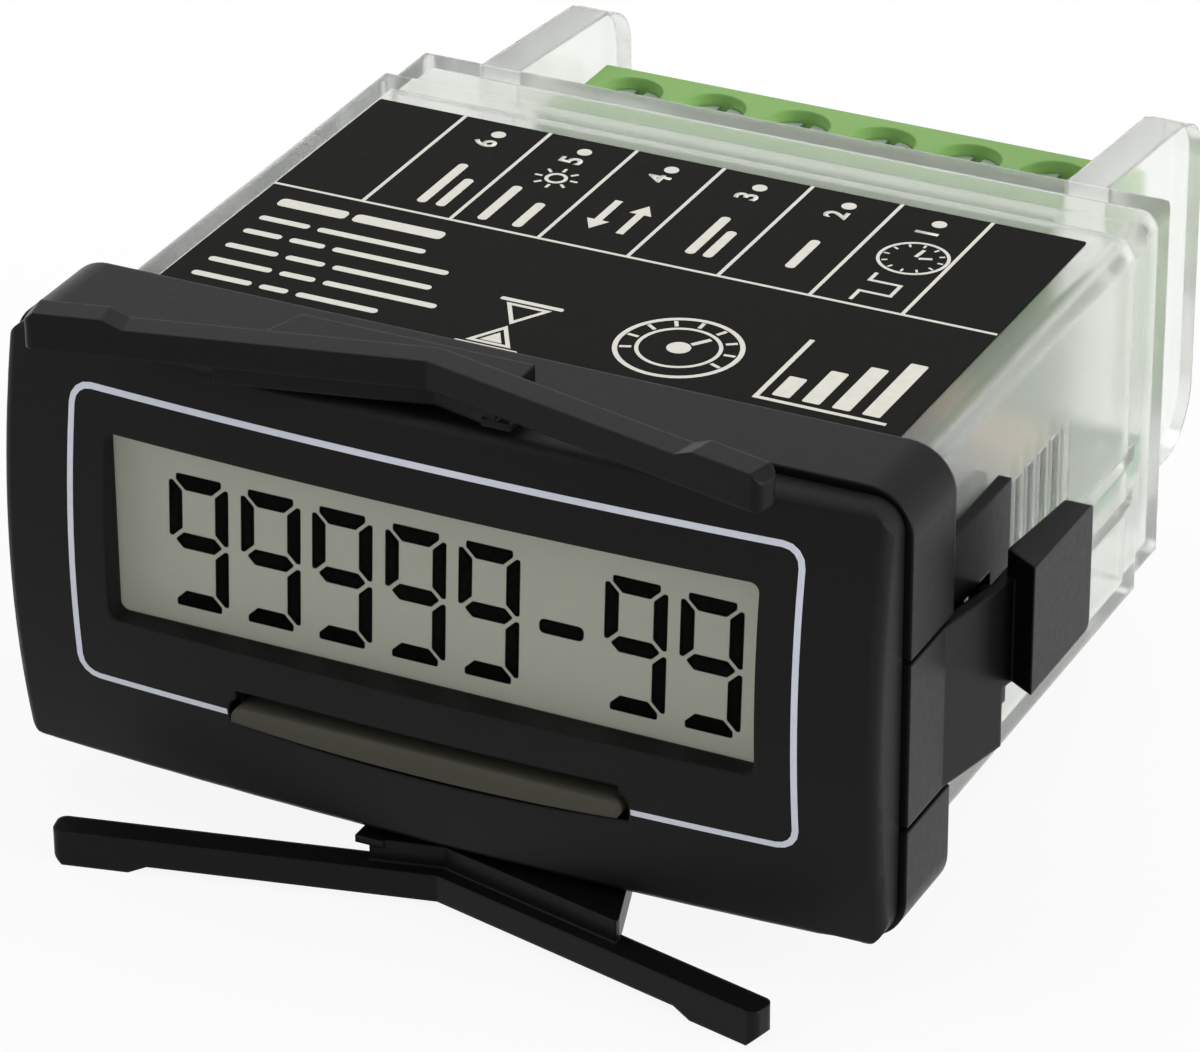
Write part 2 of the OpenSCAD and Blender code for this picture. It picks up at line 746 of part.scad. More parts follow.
module header_pin_row() {
    color("#d8b45a") header_pin_shape();
}

module main_board() {
    color("#2f6b3c") difference() {
        union() {
            block_between([-main_board_w / 2, main_board_front, main_board_bottom],
                          [main_board_w / 2, cavity_back - part_fit, board_top]);
            block_between([-main_tail_w / 2, cavity_back - cut, main_board_bottom],
                          [main_tail_w / 2, main_board_back, board_top]);
        }
        header_holes_down();
        for (n = [1:ways])
            translate([way_x(n), plate_front + plate_t / 2, main_board_bottom - cut])
                cylinder(r = leg_w / sqrt(2) + run_fit, h = board_t + 2 * cut);
    }
}

module lithium_cell() {
    color("#b9bcc0") translate([cell_x, cell_y, cell_bottom]) union() {
        translate([0, 0, cell_rim]) cylinder(r = cell_r, h = cell_h - cell_rim);
        cylinder(r1 = cell_r - cell_rim, r2 = cell_r, h = cell_rim);
    }
}

module cell_tab_upper() {
    color("#c9c9c4") union() {
        block_between([cell_x, cell_y - tab_strip_w / 2, cell_top],
                      [cell_tab_x + tab_metal, cell_y + tab_strip_w / 2, cell_top + tab_metal]);
        block_between([cell_tab_x, cell_y - tab_strip_w / 2, board_top],
                      [cell_tab_x + tab_metal, cell_y + tab_strip_w / 2, cell_top + tab_metal]);
    }
}

module cell_tab_lower() {
    color("#c9c9c4")
        block_between([cell_x - tab_strip_w, cell_y - tab_strip_w / 2, board_top],
                      [cell_x + cell_r - tab_strip_w / 2, cell_y + tab_strip_w / 2, cell_bottom]);
}

module watch_crystal() {
    color("#c4c7ca") translate([parts_x, crystal_y, board_top + crystal_r])
        rotate([-90, 0, 0]) cylinder(r = crystal_r, h = crystal_len);
}

module filter_capacitor() {
    color("#2c3f66") translate([parts_x, cap_y, board_top]) cylinder(r = cap_r, h = cap_h);
}

module input_optocoupler() {
    color("#222326") block_between([parts_x - opto_w / 2, opto_y, board_top],
                                   [parts_x + opto_w / 2, opto_y + opto_len, board_top + opto_h]);
}

// Axial resistor with its wires bent down to the board
module resistor(x, y) {
    color("#c8a878") translate([x, y, board_top + resistor_r]) union() {
        translate([-resistor_len / 2, 0, 0]) rotate([0, 90, 0])
            cylinder(r = resistor_r, h = resistor_len);
        translate([-resistor_len / 2 - 3 * lead_r, 0, 0]) rotate([0, 90, 0])
            cylinder(r = lead_r, h = resistor_len + 6 * lead_r);
        for (s = [-1, 1]) translate([s * (resistor_len / 2 + 2 * lead_r), 0, -resistor_r])
            cylinder(r = lead_r, h = resistor_r);
    }
}

// Place of resistor n along Y, counted from the front
function resistor_y(n) =
    opto_y + opto_len + n * parts_gap + (2 * n - 1) * resistor_r;

// Side outline of a cheek, in Y and Z
module cheek_shape() {
    rise = cheek_top - cheek_fall;
    difference() {
        polygon([[cavity_back, floor_z], [cheek_back, floor_z], [cheek_back, rise],
                 [housing_back, cheek_top], [cavity_back, cheek_top]]);
        translate([cheek_back - cheek_low_r, floor_z + cheek_low_r]) mirror([0, 1])
            edge_waste(cheek_low_r);
        translate([cheek_back - cheek_top_r, rise - cheek_top_r]) edge_waste(cheek_top_r);
    }
}

// Sleeve and stepped rear end as one solid, without its hollow
module housing_outside() {
    intersection() {
        prism_y(0, sleeve_len) round_rect(housing_w, housing_h, housing_corner_r);
        prism_x(-housing_w, housing_w)
            round_end(-cut, sleeve_len, -housing_h / 2, housing_h / 2, rear_edge_r);
        prism_z(-housing_h, housing_h) rotate(90)
            round_end(-cut, sleeve_len, -housing_w / 2, housing_w / 2, rear_edge_r);
    }
    intersection() {
        prism_y(cut, housing_back) round_rect(step_w, step_h, housing_corner_r - step_in / 2);
        prism_x(-housing_w, housing_w)
            round_end(0, housing_back, -step_h / 2, step_h / 2, rear_edge_r);
        prism_z(-housing_h, housing_h) rotate(90)
            round_end(0, housing_back, -step_w / 2, step_w / 2, rear_edge_r);
    }
}

module board_rails() {
    for (s = [0, 1], z = [board_top + part_fit, main_board_bottom - part_fit - rail_h])
        mirror([s, 0, 0])
            block_between([housing_in_w / 2 - rail_w, collar_end + part_fit, z],
                          [housing_in_w / 2 + housing_wall / 2, sleeve_len, z + rail_h]);
}

module rack_grooves() {
    for (s = [0, 1], n = [0:groove_count - 1]) mirror([s, 0, 0])
        block_between([housing_w / 2 - groove_d, rack_start + n * rack_pitch - groove_w / 2, -rack_h / 2],
                      [housing_w / 2 + cut, rack_start + n * rack_pitch + groove_w / 2, rack_h / 2]);
}

module housing() {
    opening_w = main_tail_w / 2 + 2 * part_fit;
    color("#e6ebea", 0.45) union() {
        difference() {
            housing_outside();
            prism_y(-cut, sleeve_len - rear_wall) square([housing_in_w, housing_in_h], center = true);
            prism_y(cut, cavity_back) square([rear_in_w, rear_in_h], center = true);
            block_between([-opening_w, cavity_back - cut, main_board_bottom - leg_tail - 2 * part_fit],
                          [opening_w, housing_back + cut, block_top + 2 * block_gap]);
            rack_grooves();
        }
        board_rails();
        for (s = [0, 1]) mirror([s, 0, 0]) prism_x(cheek_in, cheek_out) cheek_shape();
        block_between([-cheek_in - cheek_t / 2, cavity_back, floor_z],
                      [cheek_in + cheek_t / 2, cheek_back - cheek_low_r, floor_z + rear_wall]);
    }
}

module top_label() {
    mid = (label_front + label_rear) / 2;
    color("#17181a") translate([0, mid, 0]) prism_z(housing_h / 2, housing_h / 2 + label_t)
        round_rect(label_w, label_rear - label_front, label_corner_r);
}

// One arm of a spring bow, along +X from the middle, with the pad at its tip
module bow_arm_solid() {
    mitre = bow_t * tan(bow_angle);
    intersection() {
        prism_y(0, bow_t) polygon([
            [-mitre, 0], [bow_arm, 0], [bow_arm, bow_h + pad_h - bow_tip_r],
            [bow_arm - bow_tip_r, bow_h + pad_h], [bow_arm - pad_len, bow_h + pad_h],
            [bow_arm - pad_len - pad_slope, bow_h], [-mitre, bow_h]]);
        prism_z(-cut, bow_h + pad_h + cut) round_end(-2 * bow_t, bow_arm, 0, bow_t, bow_tip_r);
    }
}

// Distance of a bow's middle line ahead of the panel seat, at a place along X
function bow_mid(x) = bow_front - bow_t / 2 / cos(bow_angle) + abs(x) * tan(bow_angle);

// Upper spring bow: two arms that rake forward from an offset hub on the ring
module spring_bow() {
    hub_back = clip_front + hub_depth;
    far_back = bow_t / 4 - bow_mid(hub_far);
    translate([0, -bow_front, bow_z0]) for (s = [0, 1]) mirror([s, 0, 0])
        rotate([0, 0, -bow_angle]) bow_arm_solid();
    prism_z(clip_h / 2, bow_z0 + hub_bite)
        polygon([[hub_near, -bow_mid(hub_near)], [hub_near, hub_back], [-hub_root, hub_back],
                 [-hub_far, far_back], [-hub_far, -bow_mid(hub_far)], [0, -bow_mid(0)]]);
    block_between([hub_near - hub_step, -bow_mid(hub_near), clip_h / 2],
                  [hub_near + hub_step, hub_back, clip_h / 2 + hub_step_h]);
}

// Right latch: guide wall, sprung arm, pawl and thumb tab
module latch() {
    arm_out = clip_w / 2;
    arm_t = arm_out - latch_x;
    bend_y = clip_front + latch_bend;
    end_out = arm_out + latch_flare;
    join_y = latch_back + tab_joint;
    tab_out = end_out + tab_t;
    tab_back = latch_back + tab_len;
    pawl_y = join_y - pawl_lean;
    difference() {
        block_between([guide_x, clip_front, -guide_wall_h],
                      [guide_x + guide_wall_t, guide_wall_end, guide_wall_h]);
        block_between([guide_x - cut, latch_back - 2 * clip_fit, -pawl_h / 2 - clip_fit],
                      [guide_x + guide_wall_t + cut, join_y + 2 * clip_fit, pawl_h / 2 + clip_fit]);
    }
    block_between([guide_x, clip_front, latch_bottom], [arm_out, clip_front + latch_root, latch_top]);
    prism_z(latch_bottom, latch_top)
        polygon([[latch_x, clip_front], [arm_out, clip_front], [arm_out, bend_y],
                 [end_out, latch_back], [end_out - arm_t, latch_back], [latch_x, bend_y]]);
    prism_z(tab_bottom, latch_top)
        polygon([[end_out - arm_t, latch_back - tab_sink], [end_out, latch_back],
                 [end_out + tab_sink, join_y], [end_out - arm_t, join_y]]);
    intersection() {
        prism_z(tab_bottom, tab_top)
            polygon([[tab_out, latch_back], [tab_out, tab_back], [tab_out - tab_rear_t, tab_back],
                     [end_out - tab_grow, latch_back + tab_slant]]);
        prism_x(end_out - arm_t, tab_out + cut)
            round_end(latch_back - cut, tab_back, tab_bottom, tab_top, tab_corner_r);
    }
    prism_z(-pawl_h / 2, pawl_h / 2)
        polygon([[end_out - arm_t / 2, latch_back], [pawl_tip_x, pawl_y], [end_out - arm_t / 2, join_y]]);
}

module panel_clip() {
    color("#2a2a2b") union() {
        difference() {
            prism_y(clip_front, clip_back) difference() {
                round_rect(clip_w, clip_h, clip_corner_r);
                round_rect(clip_in_w, clip_in_h, housing_corner_r);
            }
            // Bays in the ring sides that free the latch arms
            for (turn = [0, 180]) rotate([0, turn, 0])
                block_between([guide_x + guide_wall_t, clip_front - cut, latch_bottom - latch_edge_slit],
                              [clip_w / 2 + cut, clip_back + cut, latch_top + latch_edge_slit]);
        }
        for (turn = [0, 180]) rotate([0, turn, 0]) {
            spring_bow();
            latch();
        }
    }
}

// Hollow of one terminal: clamp chamber, leg slot, screw well and wire entry
module terminal_hollow() {
    block_between([-cavity_w / 2, clamp_front - clamp_fit, clamp_low - clamp_fit],
                  [cavity_w / 2, clamp_front + clamp_len + clamp_fit, cavity_top]);
    block_between([-plate_w / 2 - part_fit, plate_front - part_fit, board_top - cut],
                  [plate_w / 2 + part_fit, clamp_front, plate_top + part_fit]);
    translate([0, screw_y, cavity_top - cut]) cylinder(r = well_r, h = block_h);
    translate([0, clamp_front + clamp_len, entry_z]) rotate([-90, 0, 0])
        cylinder(r = entry_r, h = block_d);
    translate([0, block_back - entry_flare, entry_z]) rotate([-90, 0, 0])
        cylinder(r1 = entry_r, r2 = entry_r + 2 * entry_flare, h = 2 * entry_flare);
}

module terminal_block() {
    color("#6fbf5a") difference() {
        block_between([-block_w / 2, block_front, board_top], [block_w / 2, block_back, block_top]);
        for (n = [1:ways]) translate([way_x(n), 0, 0]) terminal_hollow();
    }
}

module terminal_screw(n) {
    color("#c2c5c8") translate([way_x(n), screw_y, 0]) difference() {
        union() {
            translate([0, 0, plate_top + part_fit / 2])
                cylinder(r = shank_r, h = head_z0 - plate_top);
            translate([0, 0, head_z0]) cylinder(r = head_r, h = head_h);
        }
        translate([-slot_w / 2, -2 * head_r, head_z0 + head_h - slot_d])
            cube([slot_w, 4 * head_r, slot_d + cut]);
    }
}

module wire_clamp(n) {
    color("#b8bcc0") translate([way_x(n), 0, 0]) difference() {
        block_between([-clamp_w / 2, clamp_front, clamp_low],
                      [clamp_w / 2, clamp_front + clamp_len, clamp_low + clamp_h]);
        block_between([-clamp_w / 2 + clamp_wall, clamp_front - cut, clamp_low + clamp_floor],
                      [clamp_w / 2 - clamp_wall, clamp_front + clamp_len + cut,
                       clamp_low + clamp_h - clamp_top]);
        translate([0, screw_y, clamp_low + clamp_h - clamp_top - cut])
            cylinder(r = shank_r + run_fit, h = clamp_top + 2 * cut);
    }
}

module terminal_pin(n) {
    color("#cdb98a") translate([way_x(n), 0, 0]) union() {
        block_between([-plate_w / 2, plate_front, plate_top - plate_t],
                      [plate_w / 2, clamp_front + clamp_len, plate_top]);
        block_between([-leg_w / 2, plate_front, main_board_bottom - leg_tail],
                      [leg_w / 2, plate_front + plate_t, plate_top]);
    }
}

front_bezel();
window_lens();
lcd_panel();
zebra_strip();
backlight_guide();
display_board();
driver_chip();
reset_button();
switch_plunger();
reset_switch();
header_strip();
header_pin_row();
main_board();
lithium_cell();
cell_tab_upper();
cell_tab_lower();
watch_crystal();
filter_capacitor();
input_optocoupler();
resistor(parts_x, resistor_y(1));  // input_resistor_1
resistor(parts_x, resistor_y(2));  // input_resistor_2
housing();
top_label();
panel_clip();
terminal_block();
for (n = [1:ways]) {
    terminal_screw(n);
    wire_clamp(n);
    terminal_pin(n);
}
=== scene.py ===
"""Looks of a panel hour meter: finishes, printed front and label, display and studio.

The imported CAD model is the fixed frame. This script dresses its solids, prints the front outline
and the top label, draws the segments of the display and sets up floor, light and camera.
"""

from __future__ import annotations

import logging
import math
from abc import ABC, abstractmethod
from collections.abc import Iterable
from dataclasses import dataclass, field
from enum import Enum
from typing import Any

import bmesh
import bpy
from mathutils import Matrix, Vector

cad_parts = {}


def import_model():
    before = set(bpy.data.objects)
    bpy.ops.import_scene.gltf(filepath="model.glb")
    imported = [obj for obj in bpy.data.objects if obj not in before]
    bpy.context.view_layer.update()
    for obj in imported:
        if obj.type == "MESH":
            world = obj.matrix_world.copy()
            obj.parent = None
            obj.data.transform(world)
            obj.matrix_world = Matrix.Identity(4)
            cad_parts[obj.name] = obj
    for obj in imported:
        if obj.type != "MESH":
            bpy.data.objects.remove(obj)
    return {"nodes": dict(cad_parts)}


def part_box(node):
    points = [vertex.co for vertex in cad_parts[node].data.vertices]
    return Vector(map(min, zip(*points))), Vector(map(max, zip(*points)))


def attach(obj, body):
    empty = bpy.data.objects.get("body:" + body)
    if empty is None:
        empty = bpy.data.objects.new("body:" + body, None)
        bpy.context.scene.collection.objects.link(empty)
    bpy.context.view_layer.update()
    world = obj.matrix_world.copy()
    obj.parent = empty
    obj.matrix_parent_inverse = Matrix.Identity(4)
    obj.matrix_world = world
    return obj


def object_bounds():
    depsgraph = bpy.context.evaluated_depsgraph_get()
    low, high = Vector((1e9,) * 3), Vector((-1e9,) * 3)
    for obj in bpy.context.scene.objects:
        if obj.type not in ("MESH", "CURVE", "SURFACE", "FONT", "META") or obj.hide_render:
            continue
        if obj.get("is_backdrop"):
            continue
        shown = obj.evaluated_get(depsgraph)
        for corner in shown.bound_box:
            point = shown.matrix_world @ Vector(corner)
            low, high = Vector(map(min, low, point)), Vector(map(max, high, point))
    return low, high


LOG = logging.getLogger("hour_meter")
MM = 0.001
CASE = "case"
WHITE = "#ffffff"
# Blender's Mix node has sockets for each kind of data. These are the ones for colours.
MIX_BY, MIX_FIRST, MIX_SECOND, MIX_RESULT = 0, 6, 7, 2
# Layers of a fine noise pattern and of a soft one
FINE, SOFT = 3.0, 2.0
# Width of one band of Blender's Wave texture at a scale of 1
WAVE_BAND = math.pi / 10
# Gap that keeps the floor's paper just clear of the lowest piece
FLOOR_GAP_MM = 0.02

Tree = bpy.types.NodeTree
Output = tuple[bpy.types.Node, str | int]
Settings = dict[str | int, Any]
Links = dict[str | int, Output]


def linear(code: str) -> tuple[float, float, float, float]:
    """Turns an sRGB hex value into a linear colour.

    Args:
        code: colour such as "#1b1b1c".

    Returns:
        Linear red, green and blue, and an alpha of 1.
    """
    tones = [int(code[i:i + 2], 16) / 255 for i in (1, 3, 5)]
    red, green, blue = (t / 12.92 if t <= 0.04045 else ((t + 0.055) / 1.055) ** 2.4 for t in tones)
    return red, green, blue, 1.0


def per_mm(size: float) -> float:
    """Pattern scale whose features are `size` millimetres wide in Object coordinates."""
    return 1 / (size * MM)


def add(tree: Tree, kind: str, settings: Settings | None = None,
        links: Links | None = None) -> bpy.types.Node:
    """Adds one node with its settings and links.

    Args:
        tree: node tree that takes the node.
        kind: node type.
        settings: values by socket name, socket number or property name.
        links: source node and output by socket name or number.

    Returns:
        The new node.
    """
    node = tree.nodes.new(kind)
    for key, value in (settings or {}).items():
        if isinstance(key, int) or key in node.inputs.keys():
            node.inputs[key].default_value = value
        else:
            setattr(node, key, value)
    for key, (source, output) in (links or {}).items():
        tree.links.new(source.outputs[output], node.inputs[key])
    return node


def blank(name: str) -> tuple[bpy.types.Material, Tree]:
    """Makes an empty node material.

    Args:
        name: material name.

    Returns:
        The material and its node tree.
    """
    material = bpy.data.materials.new(name)
    material.use_nodes = True
    material.node_tree.nodes.clear()
    return material, material.node_tree


@dataclass(frozen=True)
class Moulding:
    """Injection-moulded plastic or rubber: eroded grain, slow tone drift and softened rims."""

    name: str
    colour: str
    drift: str
    rough: float
    # Real tool grain is about 0.05 mm, too fine to show, so it is drawn coarser.
    grain_mm: float = 0.35
    relief_mm: float = 0.006
    rim_mm: float = 0.15
    specular: float = 0.5
    cloud_mm: float = 9.0
    # Strength of painted light: emission in the part's own tone, which lifts it where shade would
    # fall
    glow: float = 0.0
    gloss_swing: float = 0.08
    rim_samples: int = 6
    ior: float = 1.53

    def build(self) -> bpy.types.Material:
        """Makes the material.

        Returns:
            A plastic whose grain, tone and gloss vary over the piece.
        """
        material, tree = blank(self.name)
        where = add(tree, "ShaderNodeTexCoord")
        grain = add(tree, "ShaderNodeTexNoise", {"Scale": per_mm(self.grain_mm), "Detail": FINE},
                    {"Vector": (where, "Object")})
        cloud = add(tree, "ShaderNodeTexNoise", {"Scale": per_mm(self.cloud_mm), "Detail": SOFT},
                    {"Vector": (where, "Object")})
        tone = add(tree, "ShaderNodeMix",
                   {"data_type": "RGBA", MIX_FIRST: linear(self.colour),
                    MIX_SECOND: linear(self.drift)}, {MIX_BY: (cloud, "Fac")})
        gloss = add(tree, "ShaderNodeMapRange",
                    {"To Min": self.rough - self.gloss_swing,
                     "To Max": self.rough + self.gloss_swing}, {"Value": (grain, "Fac")})
        rim = add(tree, "ShaderNodeBevel",
                  {"samples": self.rim_samples, "Radius": self.rim_mm * MM})
        relief = add(tree, "ShaderNodeBump", {"Distance": self.relief_mm * MM},
                     {"Height": (grain, "Fac"), "Normal": (rim, 0)})
        # The emission, in the part's own tone, is painted light wherever its strength is above 0.
        shader = add(tree, "ShaderNodeBsdfPrincipled",
                     {"IOR": self.ior, "Specular IOR Level": self.specular,
                      "Emission Strength": self.glow},
                     {"Base Color": (tone, MIX_RESULT), "Emission Color": (tone, MIX_RESULT),
                      "Roughness": (gloss, 0), "Normal": (relief, 0)})
        add(tree, "ShaderNodeOutputMaterial", {}, {"Surface": (shader, 0)})
        return material


@dataclass(frozen=True)
class ClearMoulding:
    """Clear polycarbonate moulding with a light haze: bright rims and a faint flow pattern."""

    name: str
    tint: str
    rough: float
    clear: float
    flow_mm: float = 6.0
    relief_mm: float = 0.01
    rim_mm: float = 0.3
    gloss_swing: float = 0.05
    rim_samples: int = 6
    # Polycarbonate has 1.58. Less is used, as the real walls are hazy and reflect softly.
    ior: float = 1.32

    def build(self) -> bpy.types.Material:
        """Makes the material.

        Returns:
            A see-through plastic with a hazy wall.
        """
        material, tree = blank(self.name)
        where = add(tree, "ShaderNodeTexCoord")
        flow = add(tree, "ShaderNodeTexNoise", {"Scale": per_mm(self.flow_mm), "Detail": SOFT},
                   {"Vector": (where, "Object")})
        gloss = add(tree, "ShaderNodeMapRange",
                    {"To Min": self.rough - self.gloss_swing,
                     "To Max": self.rough + self.gloss_swing}, {"Value": (flow, "Fac")})
        rim = add(tree, "ShaderNodeBevel",
                  {"samples": self.rim_samples, "Radius": self.rim_mm * MM})
        relief = add(tree, "ShaderNodeBump", {"Distance": self.relief_mm * MM},
                     {"Height": (flow, "Fac"), "Normal": (rim, 0)})
        shader = add(tree, "ShaderNodeBsdfPrincipled",
                     {"Base Color": linear(self.tint), "IOR": self.ior,
                      "Transmission Weight": self.clear},
                     {"Roughness": (gloss, 0), "Normal": (relief, 0)})
        add(tree, "ShaderNodeOutputMaterial", {}, {"Surface": (shader, 0)})
        return material


@dataclass(frozen=True)
class WindowPlastic:
    """Polished acrylic window: almost invisible, with a hard gloss and a few fine wipe marks."""

    name: str
    tint: str
    alpha: float
    rough: float
    wipe_mm: float = 1.2
    gloss_swing: float = 0.03
    ior: float = 1.49

    def build(self) -> bpy.types.Material:
        """Makes the material.

        Returns:
            A see-through gloss plastic.
        """
        material, tree = blank(self.name)
        where = add(tree, "ShaderNodeTexCoord")
        wipe = add(tree, "ShaderNodeTexNoise", {"Scale": per_mm(self.wipe_mm), "Detail": SOFT},
                   {"Vector": (where, "Object")})
        gloss = add(tree, "ShaderNodeMapRange",
                    {"To Min": self.rough - self.gloss_swing,
                     "To Max": self.rough + self.gloss_swing}, {"Value": (wipe, "Fac")})
        shader = add(tree, "ShaderNodeBsdfPrincipled",
                     {"Base Color": linear(self.tint), "IOR": self.ior, "Alpha": self.alpha},
                     {"Roughness": (gloss, 0)})
        add(tree, "ShaderNodeOutputMaterial", {}, {"Surface": (shader, 0)})
        return material


@dataclass(frozen=True)
class PlatedMetal:
    """Rolled, stamped or turned metal, thinly plated: lines along the work and dull patches."""

    name: str
    colour: str
    dull: str
    rough: float
    # Real tool lines lie about 0.03 mm apart, too fine to show, so they are drawn coarser.
    line_mm: float = 0.12
    stretch: tuple[float, float, float] = (1.0, 0.08, 1.0)
    patch_mm: float = 3.0
    relief_mm: float = 0.003
    rim_mm: float = 0.08
    gloss_swing: float = 0.1
    rim_samples: int = 4

    def build(self) -> bpy.types.Material:
        """Makes the material.

        Returns:
            A metal with directional lines.
        """
        material, tree = blank(self.name)
        where = add(tree, "ShaderNodeTexCoord")
        drawn = add(tree, "ShaderNodeMapping", {"Scale": self.stretch},
                    {"Vector": (where, "Object")})
        lines = add(tree, "ShaderNodeTexNoise", {"Scale": per_mm(self.line_mm), "Detail": FINE},
                    {"Vector": (drawn, 0)})
        patch = add(tree, "ShaderNodeTexNoise", {"Scale": per_mm(self.patch_mm), "Detail": SOFT},
                    {"Vector": (where, "Object")})
        tone = add(tree, "ShaderNodeMix",
                   {"data_type": "RGBA", MIX_FIRST: linear(self.colour),
                    MIX_SECOND: linear(self.dull)}, {MIX_BY: (patch, "Fac")})
        gloss = add(tree, "ShaderNodeMapRange",
                    {"To Min": self.rough - self.gloss_swing,
                     "To Max": self.rough + self.gloss_swing}, {"Value": (lines, "Fac")})
        rim = add(tree, "ShaderNodeBevel",
                  {"samples": self.rim_samples, "Radius": self.rim_mm * MM})
        relief = add(tree, "ShaderNodeBump", {"Distance": self.relief_mm * MM},
                     {"Height": (lines, "Fac"), "Normal": (rim, 0)})
        shader = add(tree, "ShaderNodeBsdfPrincipled", {"Metallic": 1.0},
                     {"Base Color": (tone, MIX_RESULT), "Roughness": (gloss, 0),
                      "Normal": (relief, 0)})
        add(tree, "ShaderNodeOutputMaterial", {}, {"Surface": (shader, 0)})
        return material


@dataclass(frozen=True)
class BoardLaminate:
    """Glass-fibre board under solder mask: tracks show as lighter lanes, with the weave below."""

    name: str
    mask: str
    track: str
    lane_mm: float = 2.54
    lane_width_mm: float = 0.3
    lane_run_mm: float = 400.0
    # Real glass cloth has a thread every 0.5 mm, which hardly shows, so it is drawn coarser.
    weave_mm: float = 0.9425
    weave_bend: float = 1.0
    relief_mm: float = 0.01
    relief_strength: float = 0.4
    rough: float = 0.32
    ior: float = 1.5

    def build(self) -> bpy.types.Material:
        """Makes the material.

        Returns:
            A gloss green with track lanes and a fine weave.
        """
        material, tree = blank(self.name)
        where = add(tree, "ShaderNodeTexCoord")
        lanes = add(tree, "ShaderNodeTexBrick",
                    {"Scale": per_mm(1), "offset": 0.0, "Brick Width": self.lane_mm,
                     "Row Height": self.lane_run_mm, "Mortar Size": self.lane_width_mm / 2,
                     "Color1": linear(self.mask), "Color2": linear(self.mask),
                     "Mortar": linear(self.track)}, {"Vector": (where, "Object")})
        weave = add(tree, "ShaderNodeTexWave",
                    {"Scale": WAVE_BAND * per_mm(self.weave_mm), "Distortion": self.weave_bend},
                    {"Vector": (where, "Object")})
        relief = add(tree, "ShaderNodeBump",
                     {"Distance": self.relief_mm * MM, "Strength": self.relief_strength},
                     {"Height": (weave, "Fac")})
        shader = add(tree, "ShaderNodeBsdfPrincipled", {"Roughness": self.rough, "IOR": self.ior},
                     {"Base Color": (lanes, "Color"), "Normal": (relief, 0)})
        add(tree, "ShaderNodeOutputMaterial", {}, {"Surface": (shader, 0)})
        return material


@dataclass(frozen=True)
class PrintInk:
    """Screen-print ink: matt, with the slight mottle of a thin film."""

    name: str
    colour: str
    thin: str
    rough: float = 0.6
    # A print screen's mesh is near 0.1 mm, too fine to show, so its mottle is drawn coarser.
    mottle_mm: float = 0.5

    def build(self) -> bpy.types.Material:
        """Makes the material.

        Returns:
            A matt ink with a soft mottle.
        """
        material, tree = blank(self.name)
        where = add(tree, "ShaderNodeTexCoord")
        mottle = add(tree, "ShaderNodeTexNoise", {"Scale": per_mm(self.mottle_mm), "Detail": FINE},
                     {"Vector": (where, "Object")})
        tone = add(tree, "ShaderNodeMix",
                   {"data_type": "RGBA", MIX_FIRST: linear(self.colour),
                    MIX_SECOND: linear(self.thin)}, {MIX_BY: (mottle, "Fac")})
        shader = add(tree, "ShaderNodeBsdfPrincipled", {"Roughness": self.rough},
                     {"Base Color": (tone, MIX_RESULT)})
        add(tree, "ShaderNodeOutputMaterial", {}, {"Surface": (shader, 0)})
        return material


